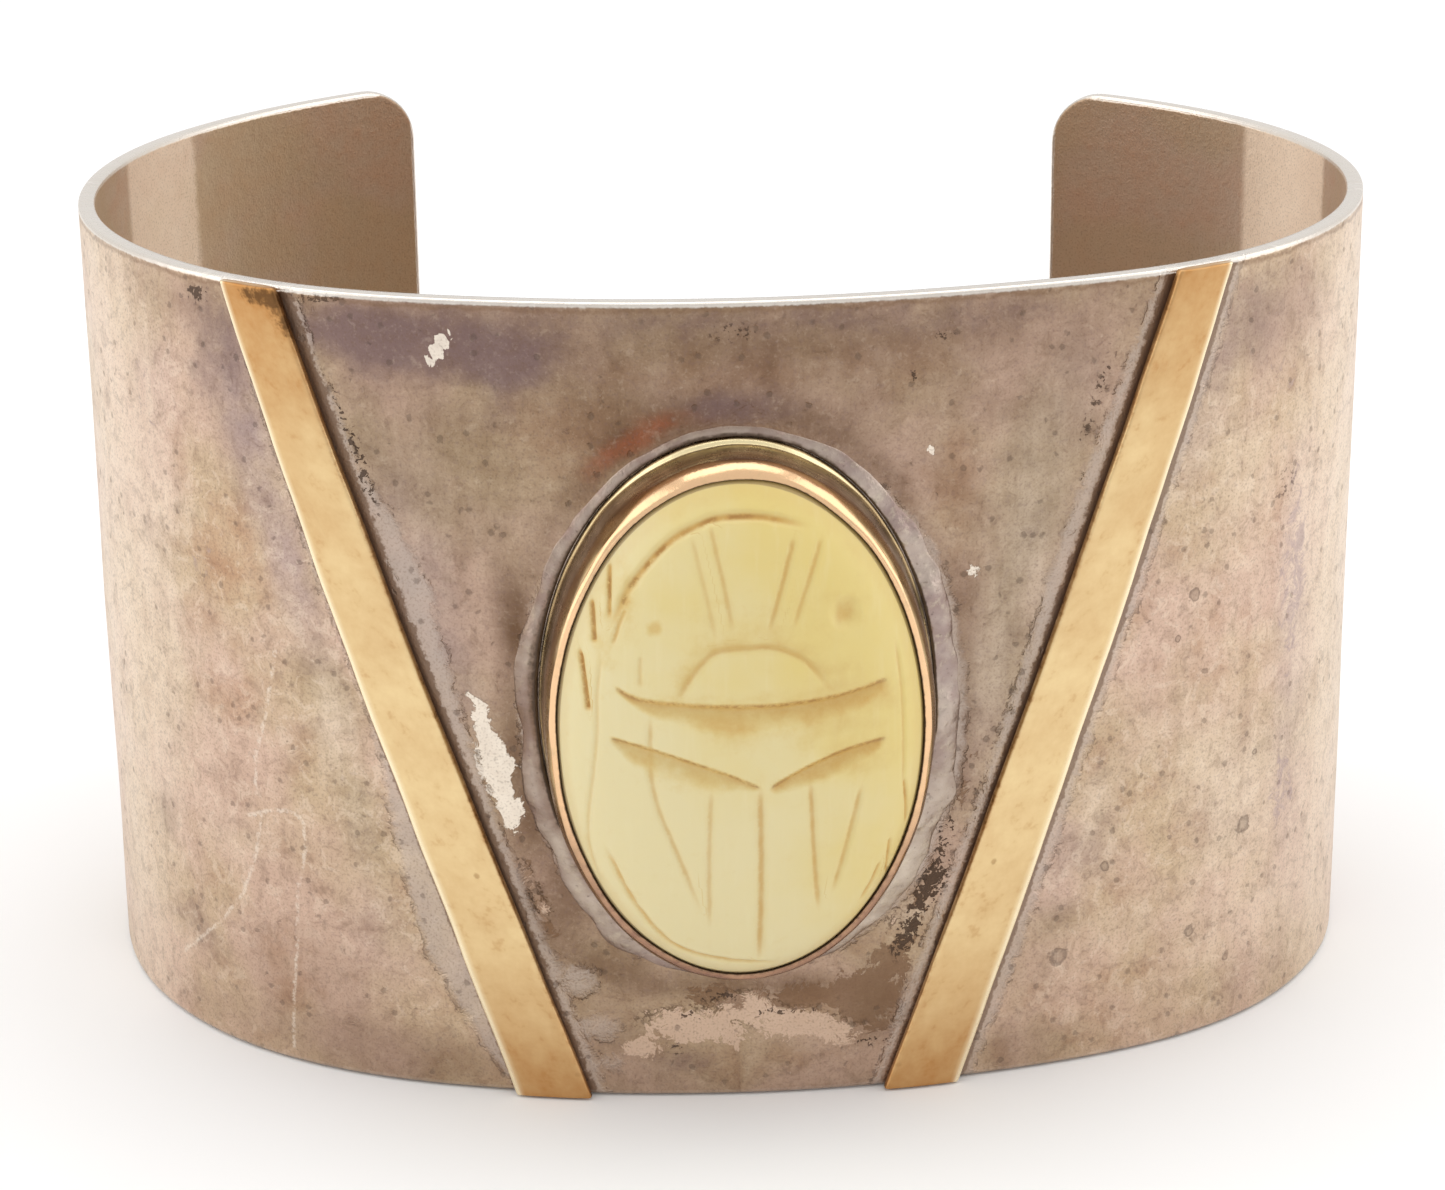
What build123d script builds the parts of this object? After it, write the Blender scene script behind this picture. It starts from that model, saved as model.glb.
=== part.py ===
from build123d import *
import math
import os

os.makedirs("parts", exist_ok=True)

# Rigid open cuff of thin sheet with a carved scarab in a raised oval setting and two leaning bars.
# The wrist goes through along Z, the scarab looks towards -Y and the open back is at +Y.
# Sizes are in millimetres, angles in degrees. A reach is a distance out from the front of the band.

# Band
cuff_width = 62.0
cuff_height = 38.4
sheet = 0.8
end_corner_radius = 2.8
rim_round = 0.15

# Bend of each side from the middle of the front round to its end: the radius of the outer face as a
# share of a common scale, and the angle of the outward normal up to which that radius runs. The cuff
# is bent by hand, so its left side is fuller and its left end lies further back.
left_bend = [(1.0, 19.4), (0.412, 128.5), (0.603, 155.0)]
right_bend = [(1.17, 19.0), (0.374, 134.9), (0.601, 151.0)]

# Leaning bars: distances along the band's outer face from the middle of the front to their centre line
bar_width = 3.1
bar_thickness = 0.5
bar_edge_round = 0.12
bar_top = 21.75
bar_bottom = 8.5

# Stone
stone_width = 16.6
stone_length = 24.2
girdle_reach = 2.3
dome_height = 3.9

# Setting
setting_height = 19.6
bezel_wall = 0.4
bezel_lean = 0.15
lip_reach = 3.4
lip_edge = 0.18
floor_thickness = 0.4
solder_width = 1.2
solder_height = 0.35
solder_round = 0.2

# Gaps between pieces
seat_gap = 0.05
stone_gap = 0.05

# Carving
line_width = 0.42
line_depth = 0.2
gouge_depth = 0.38

# Plain carved lines: start, middle and end as shares of the stone's half width and half length
carved_lines = [
    ((-0.665, 0.473), (-0.300, 0.800), (0.349, 0.806)),
    ((-0.254, 0.791), (-0.195, 0.620), (-0.142, 0.443)),
    ((-0.157, 0.831), (-0.100, 0.650), (-0.050, 0.470)),
    ((0.284, 0.780), (0.215, 0.620), (0.144, 0.465)),
    ((0.420, 0.768), (0.340, 0.620), (0.262, 0.473)),
    ((-0.345, 0.218), (0.070, 0.412), (0.465, 0.216)),
    ((0.093, -0.160), (0.098, -0.520), (0.091, -0.870)),
    ((-0.175, -0.135), (-0.190, -0.430), (-0.188, -0.718)),
    ((-0.482, 0.060), (-0.450, -0.280), (-0.225, -0.643)),
    ((0.337, -0.115), (0.350, -0.400), (0.388, -0.656)),
    ((0.613, -0.161), (0.560, -0.375), (0.461, -0.591)),
    ((-0.533, 0.373), (-0.540, 0.315), (-0.537, 0.257)),
    ((-0.668, 0.628), (-0.668, 0.560), (-0.654, 0.502)),
    ((-0.607, 0.534), (-0.640, 0.480), (-0.657, 0.433)),
    ((-0.763, 0.535), (-0.760, 0.460), (-0.739, 0.380)),
    ((-0.831, 0.364), (-0.815, 0.250), (-0.789, 0.145)),
    ((0.838, -0.165), (0.835, -0.215), (0.819, -0.260)),
    ((0.780, -0.427), (0.740, -0.540), (0.681, -0.648)),
    ((-0.738, 0.408), (-0.768, 0.180), (-0.754, -0.033)),
    ((0.830, 0.440), (0.862, 0.200), (0.852, -0.080)),
    ((-0.733, -0.409), (-0.610, -0.650), (-0.430, -0.790)),
    ((-0.310, -0.840), (-0.060, -0.890), (0.220, -0.880)),
]

# Gouges with one steep and one sloping edge: start, middle of the upper edge, end, middle of the lower
gouges = [
    ((-0.664, 0.240), (0.020, 0.190), (0.770, 0.222), (0.010, 0.085)),
    ((-0.716, 0.049), (-0.290, -0.020), (0.080, -0.132), (-0.340, -0.082)),
    ((0.758, 0.009), (0.400, -0.040), (0.130, -0.133), (0.411, -0.104)),
]

# Drilled eyes: place as shares, and radius as a share of the stone's width
eyes = [
    (-0.459, 0.477, 0.014),
    (0.545, 0.505, 0.028),
]

half_width = stone_width / 2
half_length = stone_length / 2


def widest(bend):
    """Sideways reach of one side at a scale of one, where its normal points sideways."""
    x = 0.0
    start = 0.0
    for share, stop in bend:
        upto = min(stop, 90.0)
        x += share * (math.sin(math.radians(upto)) - math.sin(math.radians(start)))
        start = upto
    return x


bend_scale = cuff_width / (widest(left_bend) + widest(right_bend))


def bend_arcs(bend, side, offset):
    """Start, middle and end point of each arc of one side, front first, on an offset of the outer face."""
    arcs = []
    x = 0.0
    y = 0.0
    start = 0.0
    for share, stop in bend:
        radius = share * bend_scale
        centre_x = x - radius * math.sin(math.radians(start))
        centre_y = y + radius * math.cos(math.radians(start))
        points = []
        for angle in (start, 0.5 * (start + stop), stop):
            turn = math.radians(angle)
            points.append((side * (centre_x + (radius + offset) * math.sin(turn)),
                           centre_y - (radius + offset) * math.cos(turn)))
        arcs.append(points)
        x = centre_x + radius * math.sin(math.radians(stop))
        y = centre_y - radius * math.cos(math.radians(stop))
        start = stop
    return arcs


def band_point(bend, side, along, offset, height):
    """Point at a distance along the outer face from the middle of the front, moved out by an offset."""
    x = 0.0
    y = 0.0
    start = 0.0
    turn = 0.0
    left_over = along
    for share, stop in bend:
        radius = share * bend_scale
        arc = radius * math.radians(stop - start)
        first = math.radians(start)
        turn = first + min(left_over, arc) / radius
        x += radius * (math.sin(turn) - math.sin(first))
        y += radius * (math.cos(first) - math.cos(turn))
        left_over -= arc
        start = stop
        if left_over <= 0:
            break
    return (side * (x + offset * math.sin(turn)), y - offset * math.cos(turn), height)


def upright_wall(inner, outer):
    """Wall as high as the cuff between two offsets of the outer face, from end to end."""
    left_out = bend_arcs(left_bend, -1, outer)
    right_out = bend_arcs(right_bend, 1, outer)
    left_in = bend_arcs(left_bend, -1, inner)
    right_in = bend_arcs(right_bend, 1, inner)
    edges = [ThreePointArc(*points) for points in left_out + right_out + left_in + right_in]
    edges.append(Line(left_out[-1][2], left_in[-1][2]))
    edges.append(Line(right_out[-1][2], right_in[-1][2]))
    return extrude(make_face(edges), amount=cuff_height, dir=(0, 0, 1))


def setting_plane(reach):
    """Plane across the setting's axis at a reach from the front of the band."""
    return Plane(origin=(0, -reach, setting_height), x_dir=(1, 0, 0), z_dir=(0, -1, 0))


def oval(wide, long, reach):
    """Upright oval face, given by its half width and half length."""
    return setting_plane(reach) * Ellipse(wide, long)


def oval_block(wide, long, low, high):
    """Straight oval block between two reaches."""
    return extrude(oval(wide, long, low), amount=high - low, dir=(0, -1, 0))


def stone_shape(grow, back, shrink_dome=0.0):
    """Uncarved stone, a straight girdle under an oval dome, grown all over and starting at a reach."""
    rise = dome_height + grow - shrink_dome
    girdle = (girdle_reach - back) / rise
    dome = Rot(0, 0, 180) * Sphere(1, arc_size3=180, align=(Align.CENTER, Align.MIN, Align.CENTER))
    body = dome + Pos(0, girdle / 2, 0) * Rot(90, 0, 0) * Cylinder(1, girdle)
    body = scale(body, by=(half_width + grow - shrink_dome, rise, half_length + grow - shrink_dome))
    return Pos(0, -girdle_reach, setting_height) * body


def leaf(start, upper, end, lower):
    """Block through the whole stone between two arcs that meet in a point at both ends."""
    points = [(u * half_width, v * half_length, 0) for u, v in (start, upper, end, lower)]
    edges = [ThreePointArc(points[0], points[1], points[2]), ThreePointArc(points[0], points[3], points[2])]
    face = setting_plane(0) * make_face(edges)
    return extrude(face, amount=girdle_reach + 2 * dome_height, dir=(0, -1, 0))


def line_leaf(start, middle, end):
    """Leaf as wide as a carved line about an arc through three points."""
    run_u = (end[0] - start[0]) * half_width
    run_v = (end[1] - start[1]) * half_length
    run = math.hypot(run_u, run_v)
    shift_u = -run_v / run * line_width / 2 / half_width
    shift_v = run_u / run * line_width / 2 / half_length
    return leaf(start, (middle[0] + shift_u, middle[1] + shift_v), end,
                (middle[0] - shift_u, middle[1] - shift_v))


# Cuff, with rounded corners at both ends and softened rims
band = upright_wall(-sheet, 0)
corner_edges = [e for e in band.edges().filter_by(GeomType.LINE) if abs(e.length - sheet) < 0.001]
band = fillet(corner_edges, end_corner_radius)
rim_edges = [e for e in band.edges() if e.geom_type != GeomType.LINE]
band = fillet(rim_edges, rim_round)

# Solder that flowed out round the foot of the setting
foot = stone_gap + bezel_wall + bezel_lean
solder = oval_block(half_width + foot + seat_gap + solder_width, half_length + foot + seat_gap + solder_width,
                    -cuff_width / 20, cuff_width / 20)
solder = solder & upright_wall(-sheet / 2, solder_height)
solder = solder - oval_block(half_width + foot + seat_gap, half_length + foot + seat_gap,
                             -cuff_width / 10, cuff_width / 10)
cuff_band = band + solder

# Setting: a foot that follows the band, a wall that leans in and a lip worked over the stone's shoulder
lower = loft([oval(half_width + foot, half_length + foot, -cuff_width / 20),
              oval(half_width + foot - bezel_lean, half_length + foot - bezel_lean, girdle_reach)], ruled=True)
lip_sections = []
for step in range(4):
    part_way = step / 3
    reach = girdle_reach + part_way * (lip_reach - girdle_reach)
    rise = (reach - girdle_reach) / dome_height
    narrow = math.sqrt(1 - rise * rise)
    metal = stone_gap + bezel_wall + part_way * part_way * (lip_edge - bezel_wall)
    lip_sections.append(oval(half_width * narrow + metal, half_length * narrow + metal, reach))
bezel = lower + loft(lip_sections)
bezel = bezel - upright_wall(-cuff_width / 10, seat_gap)
bezel = bezel - stone_shape(stone_gap, floor_thickness)

# Stone with its carving
stone = stone_shape(0, floor_thickness + stone_gap)
lines = [line_leaf(*row) for row in carved_lines]
for u, v, size in eyes:
    drill = setting_plane(0) * Pos(u * half_width, v * half_length, 0) * Circle(size * stone_width)
    lines.append(extrude(drill, amount=girdle_reach + 2 * dome_height, dir=(0, -1, 0)))
under_lines = stone_shape(0, 0, line_depth)
under_gouges = stone_shape(0, 0, gouge_depth)
for cutter in lines:
    stone = stone - (cutter - under_lines)
for row in gouges:
    stone = stone - (leaf(*row) - under_gouges)


def bar(bend, side):
    """Flat bar laid straight across the band's outer face, its ends level with both rims."""
    lean = math.atan2(bar_top - bar_bottom, cuff_height)
    across = bar_width / math.cos(lean) / 2
    sections = []
    steps = 8
    for step in range(steps + 1):
        part_way = step / steps
        middle = bar_bottom + part_way * (bar_top - bar_bottom)
        height = part_way * cuff_height
        places = (middle - across, middle, middle + across)
        under = [band_point(bend, side, place, seat_gap, height) for place in places]
        over = [band_point(bend, side, place, seat_gap + bar_thickness, height) for place in places]
        edges = [ThreePointArc(*under), ThreePointArc(*over), Line(under[0], over[0]), Line(under[2], over[2])]
        sections.append(make_face(edges))
    flat = loft(sections)
    front = flat.faces().sort_by(SortBy.AREA)[-1]
    long_edges = [e for e in front.edges() if e.length > cuff_height]
    return fillet(long_edges, bar_edge_round)


gold_bar_left = bar(left_bend, -1)
gold_bar_right = bar(right_bend, 1)

pieces = {
    "cuff_band": cuff_band,
    "bezel": bezel,
    "scarab_stone": stone,
    "gold_bar_left": gold_bar_left,
    "gold_bar_right": gold_bar_right,
}

# The origin is under the middle of the whole object, on the surface that it rests on
boxes = [piece.bounding_box() for piece in pieces.values()]
middle_x = (min(b.min.X for b in boxes) + max(b.max.X for b in boxes)) / 2
middle_y = (min(b.min.Y for b in boxes) + max(b.max.Y for b in boxes)) / 2
for name, piece in pieces.items():
    export_step(Pos(-middle_x, -middle_y, 0) * piece, f"parts/{name}.step")
    print(name, "solids", len(piece.solids()), "volume", round(piece.volume, 2), "valid", piece.is_valid)
print("origin moved by", round(-middle_x, 4), round(-middle_y, 4), "scale", round(bend_scale, 3))
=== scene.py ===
"""Open silver cuff with a carved scarab in a gold setting between two leaning gold bars.

Sizes are in millimetres until a mesh is made. The band is laid out flat: s runs along its outer face from the
middle of the front, to the right as one looks at the scarab, and z runs up from the lower rim.
"""

from __future__ import annotations

import logging
import math
from dataclasses import dataclass, field
from enum import Enum

import bpy
import numpy as np
from mathutils import Matrix, Vector

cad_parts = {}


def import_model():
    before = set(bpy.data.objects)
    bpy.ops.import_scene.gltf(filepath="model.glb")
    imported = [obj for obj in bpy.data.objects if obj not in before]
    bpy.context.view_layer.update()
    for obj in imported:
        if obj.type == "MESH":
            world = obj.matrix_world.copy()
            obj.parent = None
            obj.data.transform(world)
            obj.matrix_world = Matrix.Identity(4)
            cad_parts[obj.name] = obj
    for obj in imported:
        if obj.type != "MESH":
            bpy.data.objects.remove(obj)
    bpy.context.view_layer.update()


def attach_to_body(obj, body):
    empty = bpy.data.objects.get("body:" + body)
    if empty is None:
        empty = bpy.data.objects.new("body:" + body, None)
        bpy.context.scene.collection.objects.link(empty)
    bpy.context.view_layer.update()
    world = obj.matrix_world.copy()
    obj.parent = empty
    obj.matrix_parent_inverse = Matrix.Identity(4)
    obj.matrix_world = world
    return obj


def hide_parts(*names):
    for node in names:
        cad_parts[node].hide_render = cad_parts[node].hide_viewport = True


LOG = logging.getLogger("scarab_cuff")
MM = 0.001

Colour = tuple[float, float, float]
Table = tuple[tuple[float, float], ...]
Rows = tuple[tuple[float, ...], ...]


class Slot(Enum):
    """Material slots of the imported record."""

    SILVER = "silver"
    GOLD = "gold"
    SETTING_GOLD = "setting_gold"
    CARVED_BONE = "carved_bone"


class Side(Enum):
    """Which side of the front a bar lies on."""

    LEFT = -1
    RIGHT = 1


def linear(colour: Colour) -> tuple[float, float, float, float]:
    """Turn a colour as seen on a screen, with parts from 0 to 255, into the light that a shader works with.

    Args:
        colour: Red, green and blue.

    Returns:
        Linear red, green, blue and full alpha.
    """
    parts = [value / 255 for value in colour]
    lit = [p / 12.92 if p <= 0.04045 else ((p + 0.055) / 1.055) ** 2.4 for p in parts]
    return (lit[0], lit[1], lit[2], 1.0)


def smoothstep(low: float | np.ndarray, high: float, value: np.ndarray | float) -> np.ndarray:
    """Share t of the way from low to high, held to 0 and 1 and eased as 3 t squared minus 2 t cubed."""
    t = np.clip((value - low) / (high - low), 0.0, 1.0)
    return t * t * (3 - 2 * t)


def bell(value: np.ndarray | float, centre: float, width: float) -> np.ndarray:
    """1 at the centre, falling as exp of minus the square of the distance in widths."""
    return np.exp(-((value - centre) / width) ** 2)


def read(table: Table, value: np.ndarray) -> np.ndarray:
    """Straight lines between the rows of a table of places and sizes."""
    return np.interp(value, *np.transpose(table))


@dataclass(frozen=True)
class HandWork:
    """Smooth random unevenness: the mean of many plane waves whose lengths lie about one size."""

    size: float
    seed: int
    waves: int = 24

    def at(self, x: np.ndarray, y: np.ndarray) -> np.ndarray:
        """Sum of cos(k . (x, y) + phase) over all waves, divided by the root of half their number.

        Args:
            x: First coordinate of each point, in mm.
            y: Second coordinate of each point, in mm.

        Returns:
            A value of about -1 to 1 at each point.
        """
        rng = np.random.default_rng(self.seed)
        turn = rng.uniform(0, 2 * math.pi, self.waves)
        pitch = 2 * math.pi / (self.size * rng.uniform(0.7, 1.6, self.waves))
        phase = rng.uniform(0, 2 * math.pi, self.waves)
        total = np.zeros(np.broadcast(x, y).shape)
        for k in range(self.waves):
            total += np.cos(pitch[k] * (np.cos(turn[k]) * x + np.sin(turn[k]) * y) + phase[k])
        return total / math.sqrt(self.waves / 2) / 1.6


@dataclass
class Shell:
    """A mesh in the making: blocks of points, and faces between them."""

    points: list[np.ndarray] = field(default_factory=list)
    faces: list[np.ndarray] = field(default_factory=list)
    count: int = 0

    def add(self, block: np.ndarray) -> np.ndarray:
        """Add an array of points with the coordinates last, and give back their numbers in the same shape."""
        shape = block.shape[:-1]
        numbers = np.arange(self.count, self.count + int(np.prod(shape))).reshape(shape)
        self.points.append(block.reshape(-1, 3))
        self.count += numbers.size
        return numbers

    def grid(self, numbers: np.ndarray, flip: bool = False) -> None:
        """Quads between neighbours of a two-way array of point numbers; flip turns their faces over."""
        quads = np.stack([numbers[:-1, :-1], numbers[:-1, 1:], numbers[1:, 1:], numbers[1:, :-1]], -1)
        quads = quads.reshape(-1, 4)
        self.faces.append(quads[:, ::-1] if flip else quads)

    def fan(self, ring: np.ndarray, pole: int, flip: bool = False) -> None:
        """Triangles from a closed ring of point numbers to one pole."""
        after = np.roll(ring, -1)
        tris = np.stack([ring, after, np.full_like(ring, pole)], -1)
        self.faces.append(tris[:, ::-1] if flip else tris)

    def piece(self, name: str, notes: dict[str, np.ndarray]) -> bpy.types.Object:
        """Make the mesh, check that it is closed and turn its faces outwards.

        Args:
            name: The piece's name.
            notes: Point attributes, one number or three numbers a point, in the order of the points.

        Returns:
            The new object, in metres, at the origin.
        """
        points = np.concatenate(self.points) * MM
        corners = np.concatenate([f.reshape(-1) for f in self.faces])
        sizes = np.concatenate([np.full(len(f), f.shape[1]) for f in self.faces])
        starts = np.concatenate([[0], np.cumsum(sizes)[:-1]])
        self.check_closed(name, corners, sizes, starts)
        if self.volume(points) < 0:
            corners = np.concatenate([f[:, ::-1].reshape(-1) for f in self.faces])
        mesh = bpy.data.meshes.new(name)
        mesh.vertices.add(len(points))
        mesh.vertices.foreach_set("co", points.astype(np.float32).ravel())
        mesh.loops.add(len(corners))
        mesh.loops.foreach_set("vertex_index", corners.astype(np.int32))
        mesh.polygons.add(len(sizes))
        mesh.polygons.foreach_set("loop_start", starts.astype(np.int32))
        mesh.polygons.foreach_set("use_smooth", np.ones(len(sizes), bool))
        mesh.update(calc_edges=True)
        for note, values in notes.items():
            kind, slot_name = ("FLOAT", "value") if values.ndim == 1 else ("FLOAT_VECTOR", "vector")
            layer = mesh.attributes.new(note, kind, "POINT")
            layer.data.foreach_set(slot_name, values.astype(np.float32).ravel())
        made = bpy.data.objects.new(name, mesh)
        bpy.context.scene.collection.objects.link(made)
        LOG.info("%s: %d points, %d triangles", name, len(points), int((sizes - 2).sum()))
        return made

    def volume(self, points: np.ndarray) -> float:
        """Six times the volume inside the faces, from the triple products of each face's corners."""
        total = 0.0
        for block in self.faces:
            a = points[block[:, 0]]
            for k in range(1, block.shape[1] - 1):
                b, c = points[block[:, k]], points[block[:, k + 1]]
                total += float(np.einsum("ij,ij->", a, np.cross(b, c)))
        return total

    @staticmethod
    def check_closed(name: str, corners: np.ndarray, sizes: np.ndarray, starts: np.ndarray) -> None:
        """Stop if an edge isn't run once in each direction, which a closed and evenly turned skin has."""
        after = np.arange(1, len(corners) + 1)
        after[starts + sizes - 1] = starts
        run = corners.astype(np.int64) * (corners.max() + 1) + corners[after]
        back = corners[after].astype(np.int64) * (corners.max() + 1) + corners
        if len(np.unique(run)) != len(run) or not np.array_equal(np.sort(run), np.sort(back)):
            raise ValueError(f"{name} has an open or doubled edge")


def edge_loop(numbers: np.ndarray) -> np.ndarray:
    """Point numbers round the border of a grid, once, closed by the caller.

    Args:
        numbers: Point numbers as columns by rows.

    Returns:
        The border's numbers: first row, last column, last row back, first column back.
    """
    return np.concatenate([numbers[:-1, 0], numbers[-1, :-1], numbers[:0:-1, -1], numbers[0, :0:-1]])


@dataclass
class Bend:
    """The hand-bent line of the cuff's outer face: arcs of different radius, each easing into the next."""

    cuff_width: float = 62.0
    left: Table = ((1.0, 19.4), (0.412, 128.5), (0.603, 155.0))
    right: Table = ((1.17, 19.0), (0.374, 134.9), (0.601, 151.0))
    easing: float = 2.6
    shift: tuple[float, float] = (-0.6458, -18.6917)
    step: float = 0.05
    wave: float = 0.028

    def __post_init__(self) -> None:
        """Work out the curvature along s, ease it with a bell-shaped window and add it up twice."""
        scale = self.cuff_width / (self.widest(self.left) + self.widest(self.right))
        lengths = [[share * scale * math.radians(stop - start) for share, stop, start in self.runs(side)]
                   for side in (self.left, self.right)]
        self.ends = (-sum(lengths[0]), sum(lengths[1]))
        self.along = np.arange(self.ends[0] - 12, self.ends[1] + 12, self.step)
        curve = np.zeros_like(self.along)
        for sign, side, parts in ((-1, self.left, lengths[0]), (1, self.right, lengths[1])):
            limits = np.cumsum(parts)
            pick = np.clip(np.searchsorted(limits, sign * self.along), 0, len(side) - 1)
            radii = np.array([share * scale for share, _ in side])
            curve = np.where(sign * self.along >= 0, 1 / radii[pick], curve)
        window = np.exp(-0.5 * (np.arange(-200, 201) * self.step / self.easing) ** 2)
        padded = np.pad(curve, 200, mode="edge")
        self.curve = np.convolve(padded, window / window.sum(), mode="valid")
        self.turn = self.summed(self.curve)
        self.x = self.summed(np.cos(self.turn))
        self.y = self.summed(np.sin(self.turn))

    @staticmethod
    def runs(side: Table) -> list[tuple[float, float, float]]:
        """Share, stop angle and start angle of each arc of one side."""
        starts = [0.0] + [stop for _, stop in side[:-1]]
        return [(share, stop, start) for (share, stop), start in zip(side, starts)]

    @classmethod
    def widest(cls, side: Table) -> float:
        """Sideways reach at a scale of one: each arc's share times the rise of its sine, up to 90 degrees."""
        return sum(share * (math.sin(math.radians(min(stop, 90))) - math.sin(math.radians(min(start, 90))))
                   for share, stop, start in cls.runs(side))

    def summed(self, rate: np.ndarray) -> np.ndarray:
        """Running integral of a rate along s by trapezoids, zero at the middle of the front."""
        total = np.concatenate([[0.0], np.cumsum((rate[1:] + rate[:-1]) / 2) * self.step])
        return total - np.interp(0.0, self.along, total)

    def waviness(self, s: np.ndarray, z: np.ndarray) -> np.ndarray:
        """Slight unevenness of the hammered sheet, in mm, which all that is soldered to it follows."""
        return self.wave * (HandWork(19.0, 3).at(s, z) + 0.35 * HandWork(7.5, 4).at(s, z))

    def point(self, s: np.ndarray, z: np.ndarray, out: np.ndarray | float) -> np.ndarray:
        """Place of a spot of the flat layout once bent: foot on the line plus its distance along the normal.

        Args:
            s: Distance along the outer face.
            z: Height above the lower rim.
            out: Distance out from the outer face.

        Returns:
            Points in mm in the row frame, coordinates last.
        """
        turn = np.interp(s, self.along, self.turn)
        off = out + self.waviness(s, z)
        x = np.interp(s, self.along, self.x) + off * np.sin(turn) + self.shift[0]
        y = np.interp(s, self.along, self.y) - off * np.cos(turn) + self.shift[1]
        return np.stack(np.broadcast_arrays(x, y, z), -1)

    def s_at(self, x: np.ndarray) -> np.ndarray:
        """Distance along the face of the spot of the front that lies at a sideways place x."""
        near = np.abs(self.turn) < 1.3
        return np.interp(x, self.x[near], self.along[near])


def patches(rows: Rows, s: np.ndarray, z: np.ndarray) -> np.ndarray:
    """Sum of soft-edged patches on the flat layout, each a bell over an oval that may lean.

    With q the square of the distance from the oval's centre in half sizes, a patch is its strength times exp
    of minus q to the 1.5.

    Args:
        rows: For each patch s, z, half width, half height, strength and, if it leans, its lean in degrees.
        s: Along the face.
        z: Up the cuff.

    Returns:
        The sum at each spot.
    """
    total = np.zeros(np.broadcast(s, z).shape)
    for at_s, at_z, wide, high, strength, *lean in rows:
        turn = math.radians(sum(lean))
        across = (s - at_s) * math.cos(turn) + (z - at_z) * math.sin(turn)
        up = (z - at_z) * math.cos(turn) - (s - at_s) * math.sin(turn)
        q = (across / wide) ** 2 + (up / high) ** 2
        total = total + strength * np.exp(-(q ** 1.5))
    return total


# Shader expressions


@dataclass(frozen=True)
class Wire:
    """A value on its way through a material; arithmetic on it adds Math nodes."""

    paint: Paint
    socket: bpy.types.NodeSocket

    def __add__(self, other: Wire | float) -> Wire:
        """Sum."""
        return self.paint.math("ADD", self, other)

    def __sub__(self, other: Wire | float) -> Wire:
        """Difference."""
        return self.paint.math("SUBTRACT", self, other)

    def __rsub__(self, other: Wire | float) -> Wire:
        """Difference from a number."""
        return self.paint.math("SUBTRACT", other, self)

    def __mul__(self, other: Wire | float) -> Wire:
        """Product."""
        return self.paint.math("MULTIPLY", self, other)

    def __truediv__(self, other: Wire | float) -> Wire:
        """Quotient."""
        return self.paint.math("DIVIDE", self, other)

    def __abs__(self) -> Wire:
        """Size without sign."""
        return self.paint.math("ABSOLUTE", self, 0.0)

    __radd__ = __add__
    __rmul__ = __mul__

    def top(self, other: Wire | float) -> Wire:
        """The larger of two."""
        return self.paint.math("MAXIMUM", self, other)

    def between(self, low: float, high: float) -> Wire:
        """Eased share of the way from low to high, held to 0 and 1; low may be the larger."""
        return self.paint.node("ShaderNodeMapRange", {"interpolation_type": "SMOOTHSTEP"},
                               {"Value": self, "From Min": low, "From Max": high})


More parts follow.
